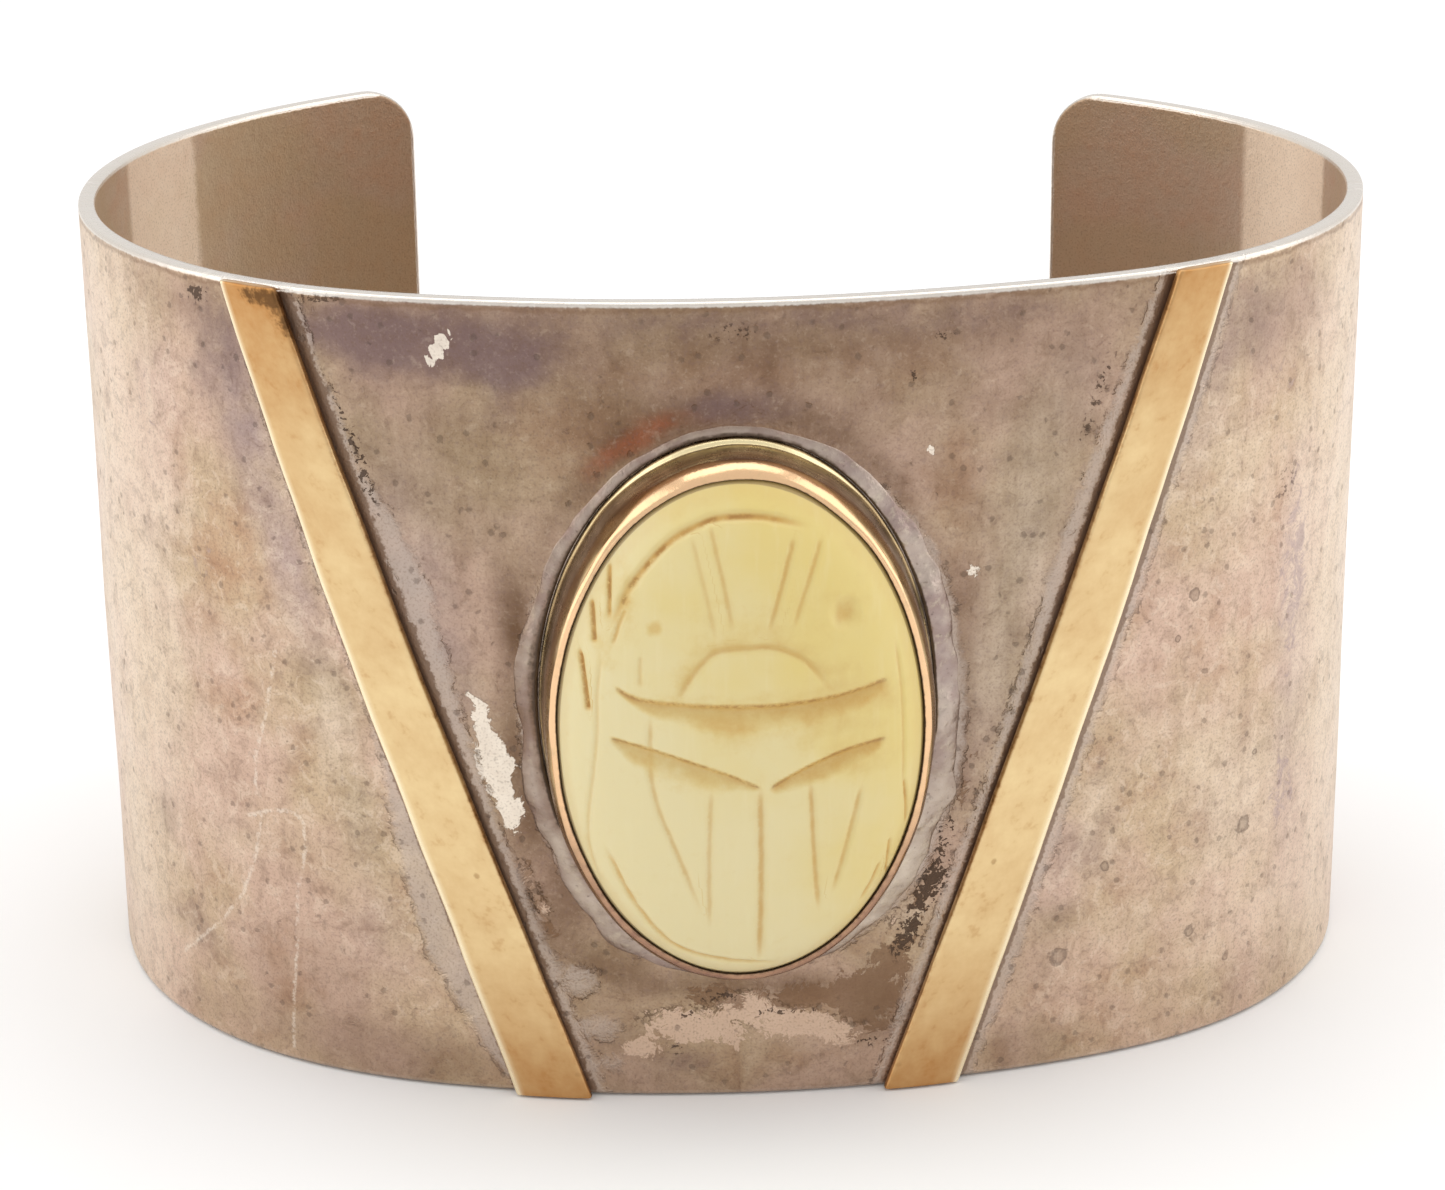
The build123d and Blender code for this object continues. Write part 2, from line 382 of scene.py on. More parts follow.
class Paint:
    """One procedural material and the means to write it as expressions."""

    def __init__(self, name: str, base: Colour, ways: str = "3D") -> None:
        """Start a material.

        Args:
            name: The material's name.
            base: The colour that the others are laid over.
            ways: Whether its noise has two or three ways, 2D or 3D.
        """
        self.material = bpy.data.materials.new(name)
        self.material.use_nodes = True
        self.tree = self.material.node_tree
        self.tree.nodes.clear()
        output = self.tree.nodes.new("ShaderNodeOutputMaterial")
        self.shader = self.tree.nodes.new("ShaderNodeBsdfPrincipled")
        self.tree.links.new(self.shader.outputs[0], output.inputs["Surface"])
        self.tone: Wire | Colour = base
        self.ways = ways

    def feed(self, socket: bpy.types.NodeSocket, value: object) -> None:
        """Link a wire to a socket, or set a plain value on it."""
        if isinstance(value, Wire):
            self.tree.links.new(value.socket, socket)
        else:
            socket.default_value = value

    def node(self, kind: str, settings: dict[str, object] | None = None,
             sockets: dict[str | int, object] | None = None, out: str | int = 0) -> Wire:
        """Add one node.

        Args:
            kind: Blender's node type.
            settings: Node settings, set first.
            sockets: Values or wires by the name or number of the socket.
            out: Name or number of the output to go on with.

        Returns:
            That output as a wire.
        """
        made = self.tree.nodes.new(kind)
        for setting, value in (settings or {}).items():
            setattr(made, setting, value)
        for name, value in (sockets or {}).items():
            self.feed(made.inputs[name], value)
        return Wire(self, made.outputs[out])

    def math(self, operation: str, a: Wire | float, b: Wire | float) -> Wire:
        """One Math node of two values."""
        return self.node("ShaderNodeMath", {"operation": operation}, {0: a, 1: b})

    def mix(self, share: Wire | float, a: Wire | Colour, b: Wire | Colour) -> Wire:
        """Blend colour a towards colour b by a share; a colour is a wire or parts from 0 to 255."""
        ends = [end if isinstance(end, Wire) else linear(end) for end in (a, b)]
        return self.node("ShaderNodeMix", {"data_type": "RGBA", "blend_type": "MIX", "clamp_factor": True},
                         {0: share, 6: ends[0], 7: ends[1]}, 2)

    def lay(self, colour: Wire | Colour, share: Wire | float) -> None:
        """Lay a colour over the tone so far by a share."""
        self.tone = self.mix(share, self.tone, colour)

    def note(self, name: str) -> Wire:
        """A one-number point attribute of the piece."""
        return self.node("ShaderNodeAttribute", {"attribute_name": name}, {}, "Fac")

    def place(self, name: str = "place") -> Wire:
        """A three-number point attribute of the piece."""
        return self.node("ShaderNodeAttribute", {"attribute_name": name}, {}, "Vector")

    def parts(self, vector: Wire) -> tuple[Wire, Wire, Wire]:
        """The three numbers of a vector."""
        split = self.node("ShaderNodeSeparateXYZ", {}, {"Vector": vector})
        outs = split.socket.node.outputs
        return Wire(self, outs[0]), Wire(self, outs[1]), Wire(self, outs[2])

    def stretched(self, vector: Wire, scale: tuple[float, float, float], turn: float = 0.0) -> Wire:
        """A vector scaled along its axes and turned about the third by degrees."""
        return self.node("ShaderNodeMapping", {}, {"Vector": vector, "Scale": scale,
                                                   "Rotation": (0.0, 0.0, math.radians(turn))})

    def noise(self, vector: Wire, scale: float, detail: float, rough: float, gain: float = 1.0,
              bend: float = 0.0) -> Wire:
        """Cloudy noise about 0.5.

        Args:
            vector: Place of each spot.
            scale: Clouds in a unit of length.
            detail: Octaves past the first.
            rough: Strength of each octave as a share of the one before.
            gain: Spread about 0.5.
            bend: Distortion.

        Returns:
            The noise.
        """
        cloud = self.node("ShaderNodeTexNoise", {"noise_dimensions": self.ways},
                          {"Vector": vector, "Scale": scale, "Detail": detail, "Roughness": rough,
                           "Distortion": bend})
        return cloud if gain == 1.0 else cloud * gain + (0.5 - 0.5 * gain)

    def cells(self, vector: Wire, scale: float) -> Wire:
        """Distance from the nearest of many scattered points, in shares of their spacing."""
        return self.node("ShaderNodeTexVoronoi", {"feature": "F1", "voronoi_dimensions": self.ways},
                         {"Vector": vector, "Scale": scale})

    def bumped(self, height: Wire, depth: float, strength: float) -> None:
        """Let a height of 0 to 1 disturb the normal as if it were depth millimetres high."""
        sockets = {"Height": height, "Distance": depth * MM, "Strength": strength}
        self.feed(self.shader.inputs["Normal"], self.node("ShaderNodeBump", {}, sockets))

    def finish(self, **sockets: object) -> bpy.types.Material:
        """Feed the tone and the shader's other sockets, underscores standing for spaces; give the material."""
        for name, value in ({"Base_Color": self.tone} | sockets).items():
            self.feed(self.shader.inputs[name.replace("_", " ")], value)
        return self.material


class Clouds:
    """Noises of the sheet's finish, from the largest to the finest, and each spot's place on the layout."""

    def __init__(self, p: Paint) -> None:
        """Add the nodes that many expressions of the material share."""
        self.place = p.place()
        self.s, self.z, self.side = p.parts(self.place)
        self.outer = self.side.between(-0.1, 0.1)
        self.big = p.noise(self.place, 0.11, 3.0, 0.55)
        self.mid = p.noise(self.place, 0.42, 3.0, 0.62, 0.91)
        self.small = p.noise(self.place, 1.25, 3.0, 0.68, 0.93)
        self.fine = p.noise(self.place, 3.6, 2.0, 0.7, 0.88)
        self.grit = p.noise(self.place, 9.0, 0.0, 0.6, 0.75)
        self.ragged = p.noise(self.place, 1.0, 4.0, 0.72, 0.91, 0.5)
        self.streak = p.noise(p.stretched(self.place, (1.1, 0.16, 1.0), 12.0), 1.0, 3.0, 0.65, 0.94)
        self.drawn = p.noise(p.stretched(self.place, (2.2, 0.55, 1.0)), 1.0, 3.0, 0.72, 0.87, 0.4)


@dataclass(frozen=True)
class TarnishedSilver:
    """Silver sheet with a warm brown patina, stains, oxide, solder films, scale, pits and a worn rim."""

    scores: int
    rose: Colour = (210, 180, 160)
    beige: Colour = (203, 178, 148)
    light: Colour = (238, 219, 197)
    brown: Colour = (112, 86, 66)
    warm: Colour = (192, 146, 112)
    violet: Colour = (124, 102, 100)
    rust: Colour = (158, 90, 62)
    lilac: Colour = (184, 162, 158)
    olive: Colour = (166, 148, 116)
    blush: Colour = (214, 186, 164)
    bare: Colour = (240, 228, 212)
    film: Colour = (188, 173, 162)
    rim: Colour = (234, 227, 218)
    soot: Colour = (76, 57, 43)
    # Dark line along the bars: joint dirt with painted shade.
    seam: Colour = (104, 74, 48)
    oxide: Colour = (124, 95, 72)
    inside: Colour = (196, 172, 148)
    tan: Colour = (190, 166, 130)
    # Colour of the painted reflections on the inner face.
    reflection_tint: Colour = (246, 224, 200)
    overlap: float = 0.4
    # The two painted reflections on the inner face: from s, to s and strength.
    reflection_strips: Rows = ((-55.2, -48.6, 0.6), (45.4, 53.2, 1.0))
    pits: Rows = (
        (22.0, 22.6, 0.34), (21.1, 20.6, 0.17), (25.6, 10.1, 0.5), (15.2, 5.5, 0.5), (-20.6, 29.9, 0.15),
        (22.3, 5.4, 0.38), (26.2, 13.7, 0.22), (17.5, 9.8, 0.3), (24.7, 3.4, 0.22), (11.2, 2.0, 0.3))

    def make(self, bar: BarLine) -> bpy.types.Material:
        """Write the material: patina by clouds and notes, with painted shade and painted reflections among
        them, then stains, bare metal, films, pits and marks.

        Args:
            bar: Where the leaning bars lie, for the dark line along their edges, dirt and painted shade.

        Returns:
            The material.
        """
        p = Paint("tarnished_silver", self.rose, "2D")
        c = Clouds(p)
        self.patina(p, c)
        p.tone = p.mix(c.outer, self.inner_tone(p, c), p.tone)
        crust, patch = self.crusts(p, c)
        film, ridge = self.films(p, c)
        seam = self.seams(p, c, bar)
        scale = self.scaled(p, c)
        dent, hole = self.pitted(p, c)
        p.lay(self.bare, self.scored(p, c) * c.outer * 0.5)
        polish = self.worn(p, c)
        rough = 0.4 + (c.mid - 0.5) * 0.2 + (c.fine - 0.5) * 0.14 - patch * 0.06 + hole * 0.2 + scale * 0.2
        rough = (rough - film * 0.04) * c.outer + (1 - c.outer) * (0.46 + (c.mid - 0.5) * 0.12)
        rough = rough * (1 - polish) + polish * 0.26
        metal = 1 - hole * 0.5 - seam * 0.35 - scale * 0.4
        height = c.fine * 0.4 + c.grit * 0.2 + c.small * 0.7 + c.mid * 0.6
        height = height - dent * 1.0 - patch * 0.7 + crust * 0.4
        height = height + ridge * 1.4 + film * 2.0 + scale * (0.6 + c.fine * 2.0)
        p.bumped(height * (1 - polish * 0.8), 0.04, 0.8)
        return p.finish(Roughness=rough, Metallic=metal)

    def patina(self, p: Paint, c: Clouds) -> None:
        """Lay the clouds of the outer face: where the notes say, frayed by the noises."""
        mid, small, fine, ragged, streak = c.mid, c.small, c.fine, c.ragged, c.streak
        p.lay(self.beige, c.big.between(0.35, 0.65))
        warmth = p.note("warm") + (mid - 0.5) * 1.5 + (c.big - 0.5) * 0.8 - 0.08 + (small - 0.5) * 0.4
        p.lay(self.warm, warmth * 0.9)
        p.lay(self.olive, (p.note("olive") + (mid - 0.5) * 0.7) * p.note("olive").between(0.0, 0.1))
        p.lay(self.lilac, p.note("lilac") * (0.75 + (mid - 0.5) * 1.5))
        # Pale patches; the two down the far sides are a painted reflection.
        p.lay(self.light, (p.note("pale") + (0.44 - streak) * 0.5 + (small - 0.5) * 0.6) * 0.9)
        # Brown where the shade note says: patina, and painted shade over the front between the bars.
        p.lay(self.brown, p.note("shade") + (mid - 0.5) * 0.4 + (streak - 0.5) * 0.16)
        bloom = p.note("violet") + (mid - 0.5) * 0.9 + (small - 0.5) * 0.4
        p.lay(self.violet, bloom.between(0.05, 1.0) * 0.85)
        p.lay(self.rust, (p.note("rust") + (small - 0.5) * 0.4).between(0.05, 1.0) * 0.75)
        p.lay(self.brown, small.between(0.56, 0.76) * 0.22)
        p.lay(self.brown, ragged.between(0.52, 0.66) * 0.22)
        p.lay(self.light, ragged.between(0.47, 0.36) * (0.03 + 0.24 * p.note("shade").between(0.3, 0.1)))
        p.lay(self.violet, fine.between(0.54, 0.68) * 0.2)
        p.lay(self.light, fine.between(0.42, 0.3) * 0.06 + small.between(0.4, 0.26) * 0.1)

    def inner_tone(self, p: Paint, c: Clouds) -> Wire:
        """Colour of the inner face: tan clouds, with two paler strips whose edges run straight up: painted
        reflections.
        """
        share = c.mid.between(0.3, 0.75) * 0.4 + c.small.between(0.45, 0.75) * 0.2
        back = p.mix(share, self.inside, self.warm)
        back = p.mix(c.big.between(0.4, 0.6) * 0.55, back, self.tan)
        back = p.mix(c.s.between(30.0, -40.0) * 0.16, back, self.brown)
        back = p.mix(c.s.between(0.0, 50.0) * 0.16, back, self.lilac)
        # Painted reflections: two paler upright strips on the inner face, with straight edges.
        reflection = c.s * 0.0
        for low, high, strength in self.reflection_strips:
            start = (c.s + (c.small - 0.5) * 0.6).between(low - 0.3, low + 0.3)
            reflection = reflection.top(start * c.s.between(high + 0.3, high - 0.3) * strength)
        return p.mix(reflection * (1.0 - c.small * 0.3), back, self.reflection_tint)

    def crusts(self, p: Paint, c: Clouds) -> tuple[Wire, Wire]:
        """Lay the pink crust with its sooty fringe, the brown oxide, the bare patches and the ashen ones.

        Args:
            p: The material.
            c: Its noises.

        Returns:
            Where oxide and where bare metal lie.
        """
        small, fine, ragged, outer = c.small, c.fine, c.ragged, c.outer
        crust = (p.note("oxide") + (ragged - 0.5) * 2.0 + (fine - 0.5) * 0.4).between(0.34, 0.46) * outer
        blush = p.note("blush") + (ragged - 0.5) * 1.6 + (fine - 0.5) * 0.7
        p.lay(self.blush, blush.between(0.4, 0.54) * outer * p.note("blush").between(0.05, 0.25) * 0.8)
        p.lay(self.oxide, crust * (1.0 - 0.6 * c.mid) * p.note("oxide").between(0.05, 0.2))
        fringe = abs(blush - 0.36).between(0.16, 0.04) * c.z.between(3.0, 3.8)
        fringe = fringe * p.note("blush").between(0.1, 0.25)
        p.lay(self.soot, fringe * outer * (small + fine - 1.0).between(-0.12, 0.08) * 0.6)
        patch = (p.note("bare") + (ragged - 0.5) * 1.5 + (c.drawn - 0.5) * 0.6).between(0.42, 0.5) * outer
        p.lay(self.bare, patch * (1.05 - 0.4 * small))
        p.lay(self.lilac, (p.note("ashen") + (ragged - 0.5) * 1.6).between(0.36, 0.56) * outer * 0.6)
        return crust, patch

    def films(self, p: Paint, c: Clouds) -> tuple[Wire, Wire]:
        """Lay the films of solder and the dark line along their shore.

        Args:
            p: The material.
            c: Its noises.

        Returns:
            Where the films and where their shores lie.
        """
        shore = p.note("film") + (c.ragged - 0.5) * 1.1 + (c.fine - 0.5) * 0.25
        film = shore.between(-0.25, 0.3) * c.outer
        p.lay(self.film, film * (0.3 + 0.6 * c.mid))
        ridge = abs(shore + 0.1).between(0.12, 0.0) * p.note("film").between(-0.6, -0.2) * c.outer
        ridge = ridge * (c.mid + c.small - 1.0).between(-0.08, 0.12)
        p.lay(self.soot, ridge * 0.22)
        return film, ridge

    def seams(self, p: Paint, c: Clouds, bar: BarLine) -> Wire:
        """Lay the dark line along both edges of the bars: dirt in the joint, and painted shade at the foot of
        the bars' inner edge.

        Args:
            p: The material.
            c: Its noises.
            bar: Where the bars lie.

        Returns:
            Where the dark line lies.
        """
        middle = bar.bottom + (bar.top - bar.bottom) / bar.height * c.z
        inward = middle - abs(c.s) - bar.across
        outward = abs(c.s) - middle - bar.across
        seam = (inward + (c.fine - 0.5) * 0.5 + (c.small - 0.5) * 0.6).between(0.26, 0.08)
        seam = seam * inward.between(-0.5, -0.3)
        beyond = outward - self.overlap + (c.fine - 0.5) * 0.3 + (c.small - 0.5) * 0.3
        seam = seam.top(beyond.between(0.14, 0.02) * outward.between(-0.4, -0.2) * 0.85) * c.outer
        # Dirt and painted shade along the bars.
        p.lay(self.seam, seam * 0.75)
        return seam

    def scaled(self, p: Paint, c: Clouds) -> Wire:
        """Lay the black flakes of scale, and give back where they lie."""
        scale = (p.note("scale") + (c.ragged - 0.5) * 2.2 + (c.fine - 0.5) * 2.4).between(0.5, 0.62)
        scale = scale * p.note("scale").between(0.05, 0.3) * c.outer
        p.lay(self.soot, scale * 0.85)
        return scale

    def pitted(self, p: Paint, c: Clouds) -> tuple[Wire, Wire]:
        """Lay the small pits, some in clusters, and the few large ones, deepest at their border.

        Args:
            p: The material.
            c: Its noises.

        Returns:
            How dented and how soiled each spot is, from 0 to 1; the tiniest pits are only soil.
        """
        few = (p.cells(c.place, 0.75) + (c.fine - 0.5) * 0.22).between(0.14, 0.07)
        few = few * (c.mid - 0.51).between(0.0, 0.04) * 0.6
        tiny = (p.cells(c.place, 1.9) + (c.fine - 0.5) * 0.3).between(0.13, 0.05)
        tiny = tiny * c.big.between(0.53, 0.6) * 0.35
        share = None
        for at_s, at_z, size in self.pits:
            away = p.node("ShaderNodeVectorMath", {"operation": "DISTANCE"},
                          {0: c.place, 1: (at_s, at_z, 1.0)}, "Value") * (1.0 / size)
            share = away if share is None else p.math("MINIMUM", share, away)
        share = share + (c.small - 0.5) * 1.3 + (c.fine - 0.5) * 0.5
        dent = few.top(share.between(1.0, 0.75) * (0.4 + 0.4 * share.between(0.35, 0.7)))
        hole = dent.top(tiny) * c.outer
        p.lay(self.soot, hole * 0.6)
        return dent * c.outer, hole

    def scored(self, p: Paint, c: Clouds) -> Wire:
        """Light score marks: 1 where the distance across a mark is nearly nothing, short of its ends."""
        total = None
        for number in range(self.scores):
            across, end, _ = p.parts(p.place(f"score_{number}"))
            near = abs(across + (c.small - 0.5) * 0.35 + (c.fine - 0.5) * 0.2).between(0.16, 0.03)
            near = near * end.between(-0.1, 0.1)
            total = near if total is None else total.top(near)
        return total * c.fine.between(0.32, 0.52) * c.small.between(0.36, 0.56)

    def worn(self, p: Paint, c: Clouds) -> Wire:
        """Lay the brown line under the upper rim, the polish of the rims and the last specks.

        Args:
            p: The material.
            c: Its noises.

        Returns:
            How polished each spot is.
        """
        low_side = c.z.between(0.0, 6.0)
        under_rim = abs(p.note("edge") + (c.small - 0.5) * 0.5 - 0.2).between(0.2, 0.0)
        p.lay(self.oxide, under_rim * c.z.between(30.0, 34.0) * c.outer * 0.45)
        worn = (p.note("edge") + (c.fine - 0.5) * 0.12).between(0.1, 0.0) * (0.1 + 0.8 * low_side)
        flank = abs(c.side).between(0.97, 0.9) * (0.3 + 0.7 * low_side)
        polish = worn.top(flank) * (0.8 + 0.25 * c.small)
        p.lay(self.rim, polish)
        p.lay(self.brown, (c.grit - 0.5).between(0.0, 0.3) * 0.24 * (1 - polish))
        return polish


@dataclass(frozen=True)
class SolderGrey:
    """Silver solder that flowed out round the setting: pale lavender grey, stained brown, dark at its foot:
    dirt along its outer edge and painted shade against the setting's wall.
    """

    light: Colour = (208, 194, 176)
    grey: Colour = (184, 168, 156)
    purple: Colour = (164, 145, 139)
    brown: Colour = (120, 92, 68)
    dark: Colour = (74, 58, 46)

    def make(self) -> bpy.types.Material:
        """Write the material: clouds between greys, brown where stained, darker at its foot from dirt and
        painted shade, and in hollows.
        """
        p = Paint("solder_grey", self.grey)
        place = p.place()
        cloud = p.noise(place, 0.45, 3.0, 0.65, 0.9)
        small = p.noise(place, 1.7, 3.0, 0.7, 0.88)
        fine = p.noise(place, 5.0, 1.0, 0.7, 0.72)
        p.lay(self.purple, cloud.between(0.38, 0.62))
        p.lay(self.light, small.between(0.52, 0.7) * 0.7 + p.note("frost") * (0.3 + small))
        p.lay(self.brown, (p.note("stain") + (cloud - 0.5) * 0.9 + (small - 0.5) * 0.6) * 0.9)
        # Dark at the foot: dirt along the outer edge, painted shade in the crease against the setting's wall.
        soil = (p.note("foot") + (small - 0.5) * 1.0 + (fine - 0.5) * 0.4).between(0.4, 0.95)
        p.lay(self.dark, soil * 0.9)
        p.lay(self.dark, small.between(0.4, 0.27) * 0.55)
        p.lay(self.dark, fine.between(0.6, 0.75) * 0.35)
        rough = 0.36 + (cloud - 0.5) * 0.2 + (fine - 0.5) * 0.15 + soil * 0.15
        p.bumped(small * 1.1 + fine * 0.35 + cloud * 0.8, 0.07, 0.8)
        return p.finish(Roughness=rough, Metallic=1.0 - soil * 0.4)


@dataclass(frozen=True)
class BarGold:
    """Yellow gold of the bars: satin from wear, outer edge paler from wear and a painted highlight, redder
    ends, dirt along the inner edge, dust and painted shade on the side walls.
    """

    gold: Colour = (232, 206, 156)
    deep: Colour = (184, 131, 76)
    shine: Colour = (255, 242, 208)
    # Dust specks, and painted shade on the lower side walls.
    dust_and_wall_shade: Colour = (150, 108, 64)
    scorch: Colour = (84, 60, 40)

    def make(self) -> bpy.types.Material:
        """Write the material: gold clouds with wear marks, worn edges with a painted highlight, dust and
        painted shade at the side walls, and stains.
        """
        p = Paint("bar_gold", self.gold)
        place = p.place()
        lift = p.parts(place)[2]
        cloud = p.noise(place, 0.28, 3.0, 0.6, 0.92)
        small = p.noise(place, 1.3, 3.0, 0.65, 0.9)
        fine = p.noise(place, 4.0, 2.0, 0.7, 0.83)
        worn_edge_highlight = p.note("worn_edge_highlight")
        p.lay(self.deep, (cloud - 0.42) * 0.8 + p.note("ends") * 0.85 + (small - 0.5) * 0.5)
        p.lay(self.deep, small.between(0.56, 0.72) * 0.3)
        # Painted highlight, with wear, along the outer edge.
        p.lay(self.shine, worn_edge_highlight * (0.6 + 0.4 * small))
        soil = (p.note("soil") + (small - 0.5) * 1.2 + (fine - 0.5) * 0.9) * p.note("soil").between(0.0, 0.15)
        p.lay(self.deep, soil.between(0.1, 0.6) * 0.5)
        p.lay(self.scorch, soil.between(0.35, 0.8) * 0.8)
        # Dust and painted shade low on the side walls, darkest where they meet the band.
        low = (lift + (fine - 0.5) * 0.12).between(0.26, 0.08)
        p.lay(self.dust_and_wall_shade, low * 0.85)
        dot = (p.cells(place, 0.5) + (fine - 0.5) * 0.1).between(0.09, 0.04) * cloud.between(0.45, 0.55)
        p.lay(self.dust_and_wall_shade, dot * 0.55)
        marks = p.noise(p.stretched(place, (0.5, 0.12, 1.0), 32.0), 1.6, 1.0, 0.4)
        scratch = abs(marks - 0.5).between(0.005, 0.001) * cloud.between(0.45, 0.6)
        rough = 0.36 + (cloud - 0.5) * 0.2 + (fine - 0.5) * 0.12 - worn_edge_highlight * 0.1 + low * 0.2
        p.bumped(cloud * 0.5 + small * 0.3 + fine * 0.2 - dot * 1.2 - scratch * 0.3, 0.02, 0.6)
        return p.finish(Roughness=rough, Metallic=1.0 - low * 0.35)


@dataclass(frozen=True)
class SettingGold:
    """Rose-toned gold of the setting: burnished lip, browner wall with painted reflection streaks, painted
    highlight on the ledge, nearly black in the seams.
    """

    lip: Colour = (240, 198, 154)
    wall: Colour = (228, 196, 146)
    # Pale colour of the painted highlight on the ledge and of the painted reflection streaks on the wall.
    ledge: Colour = (238, 222, 176)
    plum: Colour = (136, 98, 88)
    olive: Colour = (134, 108, 66)
    moss: Colour = (128, 104, 68)
    dark: Colour = (58, 40, 26)

    def make(self) -> bpy.types.Material:
        """Write the material: notes say how far up the wall, how near a seam and how shaded each spot is."""
        p = Paint("setting_gold", self.wall)
        place, lip, moss = p.place(), p.note("lip"), p.note("moss")
        cloud = p.noise(place, 0.7, 3.0, 0.6, 0.95)
        small = p.noise(place, 2.0, 3.0, 0.7, 0.93)
        fine = p.noise(place, 5.0, 1.0, 0.7, 0.72)
        streak = p.noise(p.stretched(place, (0.3, 3.4, 0.3)), 1.0, 3.0, 0.6)
        p.lay(self.lip, (lip + (cloud - 0.5) * 0.5).between(0.3, 0.7))
        p.lay(self.wall, cloud.between(0.5, 0.72) * 0.4)
        # Olive and pale streaks on the wall: painted streaky reflection.
        p.lay(self.olive, streak.between(0.48, 0.62) * (1 - lip) * 0.45)
        p.lay(self.moss, (moss + (cloud - 0.5) * 0.7) * moss.between(0.0, 0.2))
        p.lay(self.ledge, streak.between(0.48, 0.34) * (1 - lip) * (0.92 - moss))
        # Painted highlight along the ledge and up the lower wall at the top of the oval.
        p.lay(self.ledge, (p.note("ledge") + (small - 0.5) * 0.6) * 0.95)
        p.lay(self.plum, (p.note("plum") + (small - 0.5) * 0.6 + (cloud - 0.5) * 0.4) * 0.95)
        soil = (p.note("grime") + (fine - 0.5) * 0.4 + (small - 0.5) * 0.5).between(0.35, 0.85)
        p.lay(self.dark, soil * 0.9)
        rough = 0.2 + (1 - lip) * 0.08 + (cloud - 0.5) * 0.16 + (fine - 0.5) * 0.08 + soil * 0.25
        p.bumped(cloud * 0.9 + small * 0.5 + fine * 0.2, 0.03, 0.6)
        return p.finish(Roughness=rough, Metallic=1.0 - soil * 0.4)


@dataclass(frozen=True)
class CarvedBone:
    """Cream bone with a dry polish, faint grain, yellower on one side, ochre and brown dirt in the carving."""

    cream: Colour = (218, 204, 156)
    yellow: Colour = (216, 194, 120)
    pale: Colour = (230, 222, 190)
    straw: Colour = (206, 178, 108)
    ochre: Colour = (194, 148, 68)
    brown: Colour = (134, 88, 40)
    seam: Colour = (124, 90, 50)

    def make(self) -> bpy.types.Material:
        """Write the material: tone across the stone, carved lines by their distance, scoops and rim dirt."""
        p = Paint("carved_bone", self.cream)
        place = p.place()
        u, v, _ = p.parts(place)
        cloud = p.noise(place, 0.16, 3.0, 0.55, 0.96)
        small = p.noise(place, 1.1, 3.0, 0.65, 0.94)
        grain = p.noise(p.stretched(place, (2.6, 0.22, 1.0), 4.0), 1.0, 2.0, 0.6, 0.92)
        fine = p.noise(place, 4.5, 2.0, 0.7, 0.89)
        p.lay(self.yellow, (u * 0.06 + v * 0.03 + (cloud - 0.5) * 1.3 + 0.42).between(0.1, 0.95))
        p.lay(self.pale, grain.between(0.5, 0.8) * 0.1)
        p.lay(self.straw, small.between(0.55, 0.75) * 0.12)
        away = abs(p.note("line") + (fine - 0.5) * 0.09 + (small - 0.5) * 0.09)
        width, near = p.note("wide"), p.note("near")
        p.lay(self.straw, (away / (width * 2.2)).between(1.0, 0.0) * near * 0.4)
        core = (away / width).between(1.0, 0.1) * near * (fine.between(0.15, 0.5) * 0.5 + 0.5)
        p.lay(self.ochre, core * 0.74)
        dirt = (p.note("dirt") + (small - 0.5) * 0.5 + (fine - 0.5) * 0.3) * p.note("dirt").between(0.0, 0.1)
        p.lay(self.straw, dirt.between(0.0, 0.6) * 0.7)
        p.lay(self.ochre, dirt.between(0.4, 1.05) * 0.75)
        brink = abs(p.note("leaf") - 0.02 + (fine - 0.5) * 0.14).between(0.17, 0.02)
        deep = brink * p.note("dirt").between(0.2, 0.6) * (small + fine - 1.0).between(-0.2, 0.15)
        deep = deep.top((away / width).between(0.8, 0.1) * near.between(1.05, 1.3) * fine.between(0.3, 0.5))
        p.lay(self.brown, deep * 0.5)
        p.lay(self.ochre, (p.note("rim") + (small - 0.5) * 0.7).between(0.3, 0.9) * 0.14)
        p.lay(self.seam, (p.note("brim") + (fine - 0.5) * 0.25).between(0.35, 0.8) * 0.6)
        rough = 0.4 + (cloud - 0.5) * 0.2 + (fine - 0.5) * 0.12 + core * 0.2 + dirt.between(0.0, 1.0) * 0.15
        p.bumped(grain * 0.3 + fine * 0.35 + small * 0.5 - core * 0.8, 0.02, 0.5)
        return p.finish(Roughness=rough, Subsurface_Weight=0.15, Subsurface_Scale=0.0012,
                        Subsurface_Radius=(1.0, 0.75, 0.4), IOR=1.54, Coat_Weight=0.1, Coat_Roughness=0.25)


# Pieces


@dataclass(frozen=True)
class BarLine:
    """Where the leaning bars' centre lines lie on the flat layout, mirrored left and right."""

    top: float = 21.75
    bottom: float = 8.5
    width: float = 3.1
    height: float = 38.4

    @property
    def across(self) -> float:
        """Half of the bar's width along s: half the width over the cosine of its lean."""
        return self.width / math.cos(math.atan2(self.top - self.bottom, self.height)) / 2

    def centre(self, z: np.ndarray) -> np.ndarray:
        """Distance of the centre line from the middle of the front at a height."""
        return self.bottom + (self.top - self.bottom) * z / self.height


